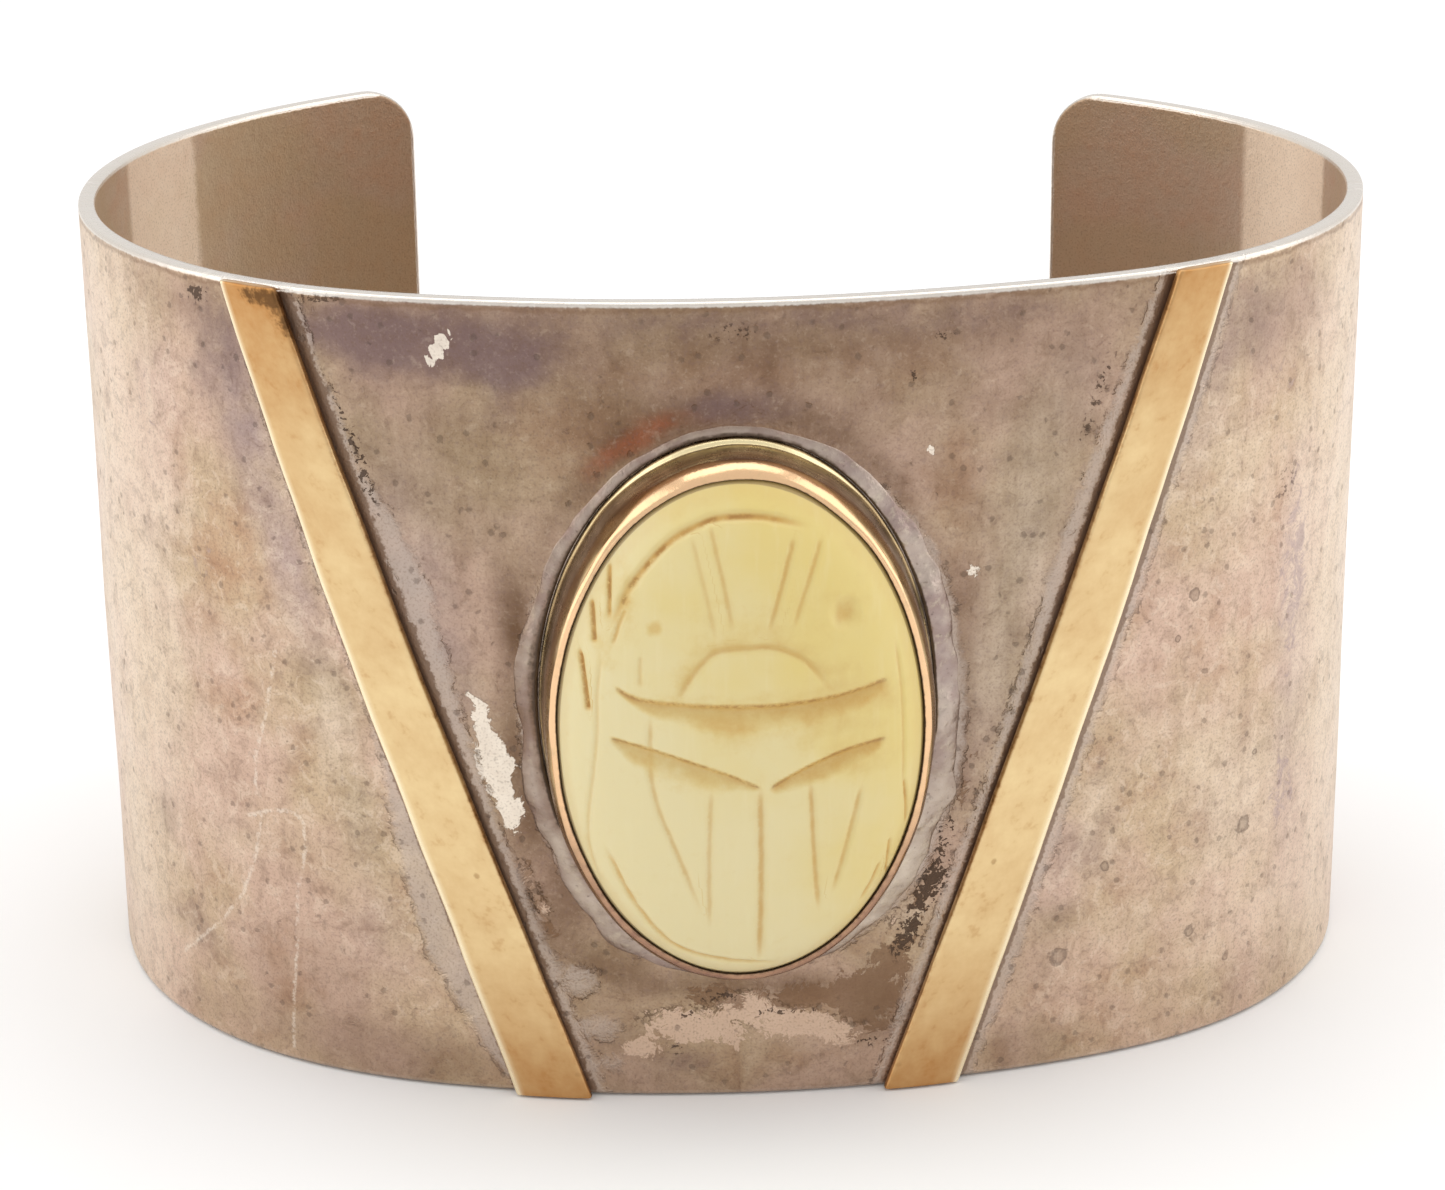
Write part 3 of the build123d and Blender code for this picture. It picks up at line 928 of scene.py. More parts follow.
@dataclass(frozen=True)
class Oval:
    """The stone's outline and dome, and the setting's place on the front."""

    bend: Bend
    half_width: float = 8.3
    half_length: float = 12.1
    centre_z: float = 19.6
    girdle: float = 2.3
    dome: float = 3.9
    tip: float = 3.22
    tip_rise: float = 0.06
    top_from: float = 0.74

    def outline(self, turn: np.ndarray, out: np.ndarray | float) -> tuple[np.ndarray, np.ndarray]:
        """A curve at a distance outside the oval: the oval's point plus the distance along its normal.

        Args:
            turn: Angle round the oval, from its right end upwards.
            out: Distance outside the oval.

        Returns:
            Sideways place from the middle of the front, and height above the lower rim.
        """
        a, b = self.half_width, self.half_length
        length = np.hypot(b * np.cos(turn), a * np.sin(turn))
        x = a * np.cos(turn) + out * b * np.cos(turn) / length
        z = b * np.sin(turn) + out * a * np.sin(turn) / length
        return x, z + self.centre_z

    def around(self, s: np.ndarray, z: np.ndarray) -> tuple[np.ndarray, np.ndarray]:
        """Angle round the oval in degrees and distance outside it: r (1 - 1 / q), q in half sizes."""
        up = z - self.centre_z
        q = np.hypot(s / self.half_width, up / self.half_length)
        angle = np.degrees(np.arctan2(up / self.half_length, s / self.half_width)) % 360
        return angle, np.hypot(s, up) * (1 - 1 / np.maximum(q, 0.3))

    def raised(self, x: np.ndarray, z: np.ndarray, reach: np.ndarray | float) -> np.ndarray:
        """A point at a reach straight out from the front of the band, in the row frame."""
        return np.stack(np.broadcast_arrays(x + self.bend.shift[0], self.bend.shift[1] - reach, z), -1)

    def shrunk(self, turn: np.ndarray, out: float, share: float) -> tuple[np.ndarray, np.ndarray]:
        """The curve at a distance outside the oval, drawn in to a share of its size about its centre."""
        x, z = self.outline(turn, out)
        return x * share, self.centre_z + (z - self.centre_z) * share

    def on_dome(self, turn: np.ndarray, reach: np.ndarray | float, metal: np.ndarray | float) -> np.ndarray:
        """Points that stand off from the stone's dome at a reach: the narrowed oval moved out by the metal.

        Args:
            turn: Angle round the oval.
            reach: Distance out from the front of the band.
            metal: Stand-off from the stone.

        Returns:
            Points in the row frame.
        """
        rise = np.clip(reach - self.girdle, 0, None) / self.dome
        narrow = np.sqrt(1 - rise ** 2)
        x, z = self.outline(turn, 0.0)
        out_x, out_z = self.outline(turn, metal)
        drawn_in = self.centre_z + (z - self.centre_z) * narrow
        return self.raised(x * narrow + out_x - x, drawn_in + out_z - z, reach)

    def top_share(self, up: np.ndarray) -> np.ndarray:
        """How much a spot counts as the oval's top end, from the sine of its angle."""
        return smoothstep(self.top_from, 1.0, up)


# Stains of the band by kind, with a painted reflection among the pale ones: place s and z, half width, half
# height, strength and, where it leans, degrees

BAND_STAINS: dict[str, Rows] = {
    "shade": ((0, 37.2, 20, 2.2, 0.3), (2, 34, 12, 3, 0.22), (-13.5, 36, 6, 2.2, 0.2),
        (-24, 34.5, 2.6, 4, 0.26), (-22.4, 29.5, 2.6, 3.6, 0.1), (-20.8, 4.2, 4, 3.2, 0.24),
        (-26.8, 3.6, 2.4, 3.4, 0.07), (-10, 14.5, 0.9, 3.6, 0.2), (-10.2, 4.6, 1.6, 4.4, 0.14),
        (2.6, 5.3, 2.2, 0.7, 0.2), (13.2, 6.2, 2, 3.6, 0.2), (25, 33.4, 4.4, 3.4, 0.1),
        (-16, 1.2, 5.5, 1.8, 0.42), (13.2, 1.2, 3.2, 1.4, 0.3), (27, 1.8, 4, 1.4, 0.15),
        (-10.2, 24.2, 0.8, 2.6, 0.35, 10), (-11.2, 10.8, 1.4, 4.6, 0.25, 19),
        (-8.6, 8.8, 1.3, 2.8, 0.4, 19), (-5.6, 6.3, 2.2, 0.8, 0.35, -22), (6.9, 4.2, 1.9, 2.1, 0.3),
        (9, 15, 0.8, 4, 0.3, -19), (-26, 37.2, 4.6, 1.5, 0.26), (10.6, 24, 1, 4, 0.1),
        (27, 35.5, 4, 2.6, 0.3), (-26.5, 1.4, 5, 1, 0.16), (-5.5, 33, 3.4, 2, 0.25), (-12, 31, 4, 4, 0.1),
        (-5, 2, 3, 1.6, 0.1), (0, 5.6, 5, 0.7, 0.3), (9.6, 29.6, 1, 2.4, 0.15, 30),
        (-30.4, 10.3, 0.9, 1.2, 0.3), (-24, 12, 6, 10, 0.05), (-26.5, 25, 4, 9, 0.05),
        (-6.4, 3.6, 1.8, 2.4, 0.14), (-13.4, 8, 3, 6, 0.08, 19)),
    "violet": ((-24.6, 33.6, 2.2, 4, 0.3), (24.6, 34, 2.8, 2.4, 0.16), (-13.5, 36.2, 6, 1.9, 0.85),
        (-9.8, 35.3, 1.8, 1.2, 0.6), (-17, 36.8, 2.4, 1.2, 0.5), (-10.2, 33, 1.2, 0.8, 0.35),
        (-23.9, 35.6, 1.2, 1.8, 0.4, 19), (0.3, 33.5, 2.8, 0.9, 0.75), (-28.2, 5.2, 2.6, 1.6, 0.3),
        (16.4, 11.6, 2.2, 3, 0.2), (-5, 37.4, 5, 0.9, 0.35), (10.5, 37.2, 7, 0.9, 0.35),
        (-2.6, 1.7, 1.8, 0.7, 0.4), (3, 37.6, 6, 0.7, 0.3)),
    "lilac": ((29.6, 12, 2.2, 12, 0.25), (25, 12.4, 3.4, 3.6, 0.25), (-29.8, 24, 1.8, 14, 0.15),
        (-23.4, 33.5, 2, 3.4, 0.6, 19), (-21.8, 28.6, 1.5, 5, 0.75, 19), (-20.4, 23.6, 1.1, 3, 0.5, 19),
        (-14.3, 26, 1.4, 4.6, 0.65, 19), (-12.6, 20.6, 1, 3, 0.5, 19), (25, 35.6, 2.8, 2.4, 0.5),
        (22.4, 31.6, 1.2, 4, 0.5, -19), (10.8, 17.5, 1.5, 4.5, 0.5, -12), (28.8, 19, 1.4, 9, 0.4),
        (16, 11, 1.4, 4, 0.35, -19), (-17, 8, 1.6, 3, 0.3, 19), (-28.6, 33, 2.2, 3.4, 0.25),
        (15.6, 33.5, 1.4, 2.4, 0.3)),
    "olive": ((-16.4, 31.4, 1.2, 3, 0.6, 19), (-12.2, 30.4, 3, 3.2, 0.4), (-19, 19.4, 1.4, 5, 0.45, 19),
        (14, 29, 2.4, 5.4, 0.7, -10), (12.2, 21.6, 1.3, 4, 0.6), (-17.6, 13, 1.2, 2.4, 0.4, 19),
        (15.4, 6.4, 1.4, 2.6, 0.3), (6.4, 4.9, 1.2, 1.6, 0.5), (-7, 7.6, 1.2, 1.2, 0.3)),
    "blush": ((-2.6, 3.7, 2.1, 0.8, 0.85), (0.3, 4.5, 1.5, 0.8, 0.85), (2.8, 3.7, 1.7, 0.6, 0.85),
        (4.9, 2.9, 1.4, 0.6, 0.7), (-4.6, 2.4, 1, 0.7, 0.55), (0.5, 2.9, 4, 0.8, 0.45),
        (-9.6, 10.6, 0.5, 1.4, 0.5, 19), (-8.9, 9.3, 0.5, 0.5, 0.5), (7.3, 8.4, 0.7, 0.7, 0.4)),
    "warm": ((-24, 25.3, 2.3, 2.6, 0.4), (-24.8, 18.4, 2.2, 2.3, 0.4), (-21.3, 5.2, 2.2, 2.8, 0.4),
        (-26.4, 21.6, 1.4, 1.5, 0.25), (-28.4, 30.5, 1.4, 2.4, 0.25), (23.8, 20.6, 2, 2.2, 0.3),
        (19.2, 20.5, 1.6, 2.6, 0.2), (-6.6, 32.8, 3.4, 1.6, 0.5), (-2, 35.2, 5, 1, 0.35),
        (6, 35.4, 5, 1.2, 0.3), (9.5, 29.4, 1.6, 3, 0.4), (27.6, 25.6, 1.5, 3, 0.25),
        (16, 3.6, 2.6, 2, 0.2), (3.2, 4.9, 2.4, 0.7, 0.4), (3, 1.4, 4, 1.2, 0.2)),
    # The first two pale patches, down both far sides, are a painted reflection where the sheet turns away.
    "pale": ((-34.5, 19, 4.6, 40, 0.8), (34.5, 19, 4.8, 40, 0.85), (-10.7, 36.2, 0.4, 2.2, 0.55),
        (25.5, 5.5, 5, 6, 0.34), (25, 26, 4, 8, 0.2), (12.5, 23, 2, 5, 0.14), (-29.4, 22, 1.9, 10, 0.36),
        (-18.7, 17.4, 1.2, 3.2, 0.4), (-27.3, 26.6, 1.6, 1.6, 0.25), (-25, 11, 2.4, 1.8, 0.25),
        (-17.6, 12.6, 0.8, 2.4, 0.25), (24.4, 28, 2, 2.4, 0.25), (20.6, 15.5, 2.6, 2.4, 0.25),
        (29.6, 24, 1.5, 9, 0.25), (18.2, 6.4, 2.2, 1.4, 0.2), (13.6, 25, 1.3, 3, 0.15),
        (27, 5.4, 2.4, 1.6, 0.2), (13, 20.5, 2.6, 7, 0.22), (-26.6, 17.6, 1.8, 4.6, 0.22),
        (-29.3, 13.2, 1.6, 3, 0.14), (-20, 19.4, 1.6, 2.6, 0.12), (-13.9, 27.4, 1.5, 4.6, 0.2),
        (13.9, 29.2, 2, 5, 0.34), (11.3, 20.2, 1.3, 3.2, 0.22), (7.9, 8.7, 1.2, 1, 0.4),
        (24.8, 12.6, 3.4, 3.8, 0.48), (17.4, 12.2, 1.6, 3, 0.26)),
    "rust": ((-4.4, 32.1, 1.9, 0.6, 0.75, 28), (-2.6, 33.2, 2.2, 0.5, 0.3), (-6.2, 30.8, 1, 0.6, 0.4, 45),
        (7.5, 4.2, 1.4, 1.4, 0.2)),
    "bare": ((-11.7, 19.5, 0.6, 1.3, 0.5, 8), (-11.1, 16.5, 1, 2.3, 0.85, 12),
        (-10.4, 13.9, 0.6, 1.1, 0.65), (-13, 36.15, 0.2, 0.85, 1.9, -38), (3.6, 32.3, 1.3, 0.22, 0.5, 14),
        (5.4, 31.4, 0.8, 0.2, 0.5, 20), (10.9, 25.2, 0.34, 0.34, 0.6), (-8.3, 30, 0.3, 0.5, 0.6, -40),
        (9.3, 8.6, 0.3, 0.5, 0.4), (8.8, 31.2, 0.22, 0.3, 0.9)),
    "oxide": ((3.2, 4.9, 2.4, 0.75, 0.7), (5.9, 4.4, 1.5, 1.9, 0.85, -10), (7.3, 6.6, 0.9, 1.4, 0.6, -20),
        (8.7, 9.4, 0.6, 2, 0.5, -20), (-1.3, 5, 1.7, 0.6, 0.6), (-9.3, 9.8, 0.8, 2.6, 0.4, 19),
        (9.9, 14, 0.6, 3, 0.4, -20)),
    "scale": ((8.9, 10, 0.55, 1.6, 0.85, -24), (7.8, 7.7, 0.6, 1.2, 0.75, -24),
        (9.6, 12.6, 0.4, 1.2, 0.5, -20), (-17, 31, 0.34, 3.2, 0.45, 19),
        (-25.3, 37.35, 0.75, 0.35, 0.65, 20), (-2.9, 2.5, 0.35, 0.25, 0.6), (-1, 5.2, 1.4, 0.24, 0.55),
        (-2, 4.2, 1.2, 0.25, 0.4), (1.4, 4.1, 1, 0.3, 0.45), (6.3, 2.5, 0.9, 0.2, 0.75),
        (3.6, 4, 1.4, 0.24, 0.4), (-18.4, 38.1, 1.6, 0.16, 0.6), (16.6, 33, 0.3, 4, 0.3, -19),
        (28, 26.5, 1.2, 1.8, 0.2), (0, 37, 1.4, 0.5, 0.3), (9.4, 36.4, 0.5, 0.3, 0.4),
        (8, 34.8, 0.2, 0.3, 0.6)),
    "ashen": ((29, 22, 1.6, 6, 0.5), (28.4, 11, 1.6, 2.4, 0.45), (-29.8, 30.5, 1, 4, 0.3),
        (26.8, 32, 2, 4, 0.22), (-25.8, 24.5, 1.4, 1.2, 0.3)),
}


@dataclass
class CuffBand:
    """Open cuff of thin sheet with rounded corners and softened rims, as one closed skin."""

    bend: Bend
    bar: BarLine
    oval: Oval
    height: float = 38.4
    sheet: float = 0.8
    corner: float = 2.8
    round_over: float = 0.17
    front_reach: float = 30.0
    front_pitch: float = 0.26
    back_pitch: float = 0.62
    row_pitch: float = 0.44
    stains: dict[str, Rows] = field(default_factory=lambda: BAND_STAINS)
    scores: tuple[Table, ...] = (
        ((-21.7, 21.0), (-22.6, 17.2), (-23.2, 15.6), (-23.4, 13.4)),
        ((-24.0, 12.2), (-22.6, 12.8), (-21.6, 13.0), (-20.7, 12.8), (-20.6, 11.3), (-21.2, 9.0), (-21.4, 6.0),
         (-21.8, 3.0), (-21.9, 0.6)),
        ((-23.1, 12.5), (-23.5, 10.5), (-24.5, 8.1), (-26.3, 6.0), (-29.5, 3.4)))
    inner_film: dict[Side, Table] = field(default_factory=lambda: {
        Side.LEFT: ((0, 0.6), (8, 0.6), (15, 0.6), (20, 0.9), (25, 1.7), (28, 1.2), (30, 0.5), (38.4, 0.3)),
        Side.RIGHT: ((0, 0.7), (8, 0.7), (14, 0.6), (20, 0.7), (25, 0.9), (29, 0.9), (34, 0.7), (38.4, 0.4))})
    outer_film: dict[Side, Table] = field(default_factory=lambda: {
        Side.LEFT: ((0, 0.4), (3, 1.3), (7, 2.1), (11, 1.8), (15, 1), (18, 0.5), (27, 0.5), (38.4, 0.2)),
        Side.RIGHT: ((0, 0.9), (6, 1), (12, 0.9), (18, 0.8), (38.4, 0.8))})
    halo: Table = (
        (0, 0.34), (30, 0.3), (50, 0.3), (90, 0.24), (130, 0.3), (150, 0.22), (180, 0.36), (210, 0.42),
        (240, 0.3), (270, 0.05), (300, 0.05), (330, 0.25), (360, 0.34))
    collar_film: Table = (
        (0, 2.1), (30, 2.1), (50, 1.3), (75, 0.5), (90, 0.3), (130, 0.7), (160, 1.4), (200, 1.7), (225, 1.9),
        (250, 1.4), (275, 0.9), (300, 1.8), (325, 2.6), (345, 2.4), (360, 2.1))
    film_clouds: Rows = ((-7.6, 5.9, 1.3, 1, 0.75), (-6.6, 3.4, 1.4, 0.8, 0.7), (-6.2, 1.6, 1, 0.6, 0.6),
                         (-15.4, 25.6, 0.9, 3, 0.5, 19))

    def columns(self) -> np.ndarray:
        """Places of the columns along s: close together at the rounded ends and over the front."""
        first = self.bend.ends[0] + self.round_over
        last = self.bend.ends[1] - self.round_over
        corner = self.corner - self.round_over
        curl = corner * (1 - np.cos(np.linspace(0, math.pi / 2, 12)))
        back = max(int((-first - corner - self.front_reach) / self.back_pitch), 2)
        ahead = max(int((last - corner - self.front_reach) / self.back_pitch), 2)
        front = int(2 * self.front_reach / self.front_pitch)
        return np.concatenate([first + curl, np.linspace(first + corner, -self.front_reach, back)[1:],
                               np.linspace(-self.front_reach, self.front_reach, front)[1:],
                               np.linspace(self.front_reach, last - corner, ahead)[1:],
                               (last - curl[::-1])[1:]])

    def rows(self) -> np.ndarray:
        """Shares of the height of the rows: even, with two more close to each rim."""
        even = np.linspace(0, 1, int(self.height / self.row_pitch))
        near = np.array([0.12, 0.27]) / self.height
        return np.unique(np.concatenate([even, near, 1 - near]))

    def layout(self) -> tuple[np.ndarray, np.ndarray]:
        """Flat layout of one face: a sheet with quarter-circle corners, drawn in by the rounding of its rim.

        Returns:
            s and z of every point as columns by rows.
        """
        s = self.columns()
        corner = self.corner - self.round_over
        near = np.minimum(s - s[0], s[-1] - s)
        short = np.clip(corner - near, 0, corner)
        margin = corner - np.sqrt(corner ** 2 - short ** 2)
        low, high = self.round_over + margin, self.height - self.round_over - margin
        z = low[:, None] + (high - low)[:, None] * self.rows()[None, :]
        return np.repeat(s[:, None], z.shape[1], 1), z

    def edge_way(self, s: np.ndarray, z: np.ndarray, first: float, last: float) -> np.ndarray:
        """Direction in the flat layout in which the outline faces at each border point.

        Args:
            s: Border points along the face.
            z: Border points up the cuff.
            first: Where the layout starts.
            last: Where it ends.

        Returns:
            Unit vectors: away from the corner's centre within a corner, straight out elsewhere.
        """
        corner = self.corner - self.round_over
        low, high = self.round_over, self.height - self.round_over
        core_s = np.clip(s, first + corner, last - corner)
        core_z = np.clip(z, low + corner, high - corner)
        way = np.stack([s - core_s, z - core_z], -1)
        return way / np.linalg.norm(way, axis=-1, keepdims=True)

    def build(self) -> bpy.types.Object:
        """Outer face, inner face and the rounded rim between them, with the notes that the finish reads.

        Returns:
            The band.
        """
        shell = Shell()
        s, z = self.layout()
        outer = shell.add(self.bend.point(s, z, 0.0))
        inner = shell.add(self.bend.point(s, z, -self.sheet))
        shell.grid(outer)
        shell.grid(inner, flip=True)
        loop = edge_loop(outer)
        flat_s, flat_z = s.ravel()[loop], z.ravel()[loop]
        way = self.edge_way(flat_s, flat_z, s[0, 0], s[-1, 0])
        turn = np.linspace(0, math.pi / 2, 5)[1:]
        step = np.concatenate([self.round_over * np.sin(turn), [self.round_over] * 2,
                               self.round_over * np.cos(turn)[:-1]])
        core = self.sheet - 2 * self.round_over
        down = np.concatenate([self.round_over * (1 - np.cos(turn)),
                               self.round_over + core * np.array([0.33, 0.67]),
                               self.sheet - self.round_over * (1 - np.sin(turn))[:-1]])
        ring_s = flat_s[None, :] + step[:, None] * way[None, :, 0]
        ring_z = flat_z[None, :] + step[:, None] * way[None, :, 1]
        rings = shell.add(self.bend.point(ring_s, ring_z, -down[:, None]))
        band = np.concatenate([loop[None, :], rings, edge_loop(inner)[None, :]])
        shell.grid(np.concatenate([band, band[:, :1]], 1))
        all_s = np.concatenate([s.ravel(), s.ravel(), ring_s.ravel()])
        all_z = np.concatenate([z.ravel(), z.ravel(), ring_z.ravel()])
        face = np.concatenate([np.ones(s.size), -np.ones(s.size),
                               np.repeat(1 - 2 * down / self.sheet, ring_s.shape[1])])
        return shell.piece("silver_cuff", self.notes(all_s, all_z, face))

    def film_reach(self, s: np.ndarray, z: np.ndarray) -> np.ndarray:
        """How far inside a film of solder each spot is, in mm; below zero outside.

        Beside a bar it is the film's width there less the distance from the bar's edge. Round the setting it
        is the film's width at that angle less the distance outside the oval.
        """
        reach = np.full(s.shape, -9.0)
        for side in Side:
            ahead = side.value * s - self.bar.centre(z)
            for sign, table in ((-1, self.inner_film[side]), (1, self.outer_film[side])):
                away = sign * ahead - self.bar.across
                reach = np.maximum(reach, np.minimum(read(table, z) - away, away + 1.6))
        angle, away = self.oval.around(s, z)
        reach = np.maximum(reach, read(self.collar_film, angle) - away)
        return np.clip(np.maximum(reach, patches(self.film_clouds, s, z) - 0.5), -1.5, 1.5)

    def notes(self, s: np.ndarray, z: np.ndarray, face: np.ndarray) -> dict[str, np.ndarray]:
        """Flat place, distance from the rim, solder films, score marks and the patches of each kind of stain.

        Args:
            s: Along the face.
            z: Up the cuff.
            face: 1 on the outer face, -1 on the inner face, between them on the rim.

        Returns:
            Point attributes by name.
        """
        upright = np.minimum(z, self.height - z)
        edge = np.minimum(upright, np.minimum(s - self.bend.ends[0], self.bend.ends[1] - s))
        found = {"place": np.stack([s, z, face], -1), "edge": np.clip(edge - self.round_over, 0, 5),
                 "film": self.film_reach(s, z)}
        found |= {f"score_{k}": self.score(np.array(run), s, z) for k, run in enumerate(self.scores)}
        found |= {kind: patches(rows, s, z) for kind, rows in self.stains.items()}
        between = smoothstep(-0.6, 0.6, self.bar.centre(z) - np.abs(s))
        angle, away = self.oval.around(s, z)
        # Darker between the bars and over the middle of the front: brown patina and painted shade in one,
        # standing in for the front's darker reflection.
        found["shade"] += 0.3 * between + 0.07 * smoothstep(30.0, 20.0, np.abs(s))
        found["shade"] += read(self.halo, angle) * bell(away, 1.9, 0.8)
        return found

    @staticmethod
    def score(run: np.ndarray, s: np.ndarray, z: np.ndarray) -> np.ndarray:
        """How each spot lies to one score mark, a run of straight pieces.

        The nearest piece counts: its signed distance across, and the way along the run to the nearer end,
        below zero past an end. Past an end the distance across is that from the piece drawn longer.

        Args:
            run: Corners of the run, as rows of s and z.
            s: Along the face.
            z: Up the cuff.

        Returns:
            Rows of distance across, way to the nearer end, and nought.
        """
        steps = np.diff(run, axis=0)
        lengths = np.hypot(*steps.T)
        starts = np.concatenate([[0.0], np.cumsum(lengths)])
        nearest, across, arc = np.full(s.shape, np.inf), np.zeros(s.shape), np.zeros(s.shape)
        for k, (at, step, length) in enumerate(zip(run, steps, lengths)):
            along = ((s - at[0]) * step[0] + (z - at[1]) * step[1]) / length
            side = ((z - at[1]) * step[0] - (s - at[0]) * step[1]) / length
            over = along - np.clip(along, 0.0, length)
            away = np.hypot(over, side)
            open_end = (over < 0) & (k == 0) | (over > 0) & (k == len(steps) - 1)
            nearer = away < nearest
            nearest = np.where(nearer, away, nearest)
            across = np.where(nearer, np.where(open_end, side, np.copysign(away, side)), across)
            arc = np.where(nearer, starts[k] + np.where(open_end, along, along - over), arc)
        end = np.minimum(arc, starts[-1] - arc)
        return np.stack([np.clip(across, -3, 3), np.clip(end, -3, 3), np.zeros(s.shape)], -1)

    def dress(self, piece: bpy.types.Object) -> None:
        """Give the band its finish and hide the CAD node that it replaces."""
        attach(piece, TarnishedSilver(len(self.scores)).make(self.bar), "cuff_band")


@dataclass
class SolderCollar:
    """Low, lumpy ridge of solder that flowed out round the foot of the setting."""

    oval: Oval
    start: float = 0.64
    rise: float = 0.34
    full: float = 1.1
    root: float = 0.3
    turns: int = 900
    steps: int = 24
    widths: Table = (
        (0, 1.15), (20, 1.1), (38, 1.1), (52, 0.8), (70, 0.52), (90, 0.42), (112, 0.44), (130, 0.52),
        (150, 0.8), (170, 1), (190, 1.1), (215, 1.3), (240, 1.4), (262, 0.85), (280, 0.75), (300, 1.3),
        (325, 1.8), (345, 1.4), (360, 1.2))

    def build(self) -> bpy.types.Object:
        """Ring whose height falls as (1 - t to the 1.7) to the 0.9 across a width that wanders, plus lumps.

        Returns:
            The collar, closed by a root inside the sheet.
        """
        turn = np.linspace(0, 2 * math.pi, self.turns, endpoint=False)[:, None]
        t = np.linspace(0, 1, self.steps)[None, :]
        girth = self.oval.outline(turn, 0.0)
        wander = HandWork(5.0, 21).at(*girth) * 0.12 + HandWork(1.6, 22).at(*girth) * 0.07
        angle = np.degrees(turn)
        reach = read(self.widths, angle) * (1 + wander)
        x, z = self.oval.outline(turn, self.start + reach * t)
        lumps = HandWork(1.9, 23).at(x, z) * 0.16 + HandWork(0.7, 24).at(x, z) * 0.05
        fall = np.clip(1 - t ** 1.7, 0, 1) ** 0.9
        crest = self.rise * (1 + 0.3 * HandWork(4.0, 25).at(x, z)) * fall
        crest = crest * np.clip(reach / self.full, 0.6, 1.0)
        height = crest * (1 + lumps * 1.4) - 0.02 * smoothstep(0.93, 1.0, t) - 0.08 * smoothstep(0.1, 0.0, t)
        bend = self.oval.bend
        s = bend.s_at(x)
        under = bend.point(s[:, [-1, 0]], z[:, [-1, 0]], -self.root)
        shell = Shell()
        numbers = shell.add(np.concatenate([bend.point(s, z, height), under], 1))
        wrapped = np.concatenate([numbers, numbers[:1]], 0)
        shell.grid(np.concatenate([wrapped, wrapped[:, :1]], 1))
        place = np.concatenate([np.stack([x, z, height], -1), np.zeros((self.turns, 2, 3))], 1)
        return shell.piece("solder_collar", self.notes(angle, t) | {"place": place.reshape(-1, 3)})

    def notes(self, angle: np.ndarray, t: np.ndarray) -> dict[str, np.ndarray]:
        """Darkness at the foot (dirt at the outer edge, painted shade against the wall), brown stain and pale
        frost, over the skin and the two columns of the root.

        Args:
            angle: Angle round the oval in degrees.
            t: Share of the way out.

        Returns:
            Point attributes by name.
        """
        lower_right = 0.6 * bell(angle, 342, 14) + bell(angle, 95, 26)
        # Painted shade on the inner part of the collar, by the setting's wall, strongest at the top and the
        # left.
        shade = (bell(angle, 92, 42) + 0.8 * bell(angle, 172, 32)) * smoothstep(0.66, 0.3, t)
        shade = shade + 0.5 * smoothstep(0.3, 0.1, t)
        # Foot: dirt at the outer edge, painted shade at the wall.
        foot = 0.75 * smoothstep(0.9, 1.0, t) + 1.1 * smoothstep(0.13, 0.0, t) + 0.75 * shade
        inward = smoothstep(0.55, 0.1, t)
        stain = 0.2 * smoothstep(0.5, 1.0, t) + 0.35 * lower_right
        stain = stain + (0.5 + 0.4 * inward) * bell(angle, 178, 48) + 0.3 * inward * bell(angle, 95, 55)
        frost = bell(angle, 318, 20) * smoothstep(0.0, 0.3, t)
        frost = frost + 0.7 * bell(angle, 222, 20) * smoothstep(0.1, 0.5, t) * smoothstep(1.0, 0.7, t)
        return {name: np.concatenate([skin, np.full((self.turns, 2), root)], 1).ravel()
                for name, skin, root in (("foot", foot, 1.0), ("stain", stain, 1.0), ("frost", frost, 0.0))}

    def dress(self, piece: bpy.types.Object) -> None:
        """Give the collar its finish and hide the CAD node that it replaces."""
        attach(piece, SolderGrey().make(), "cuff_band")


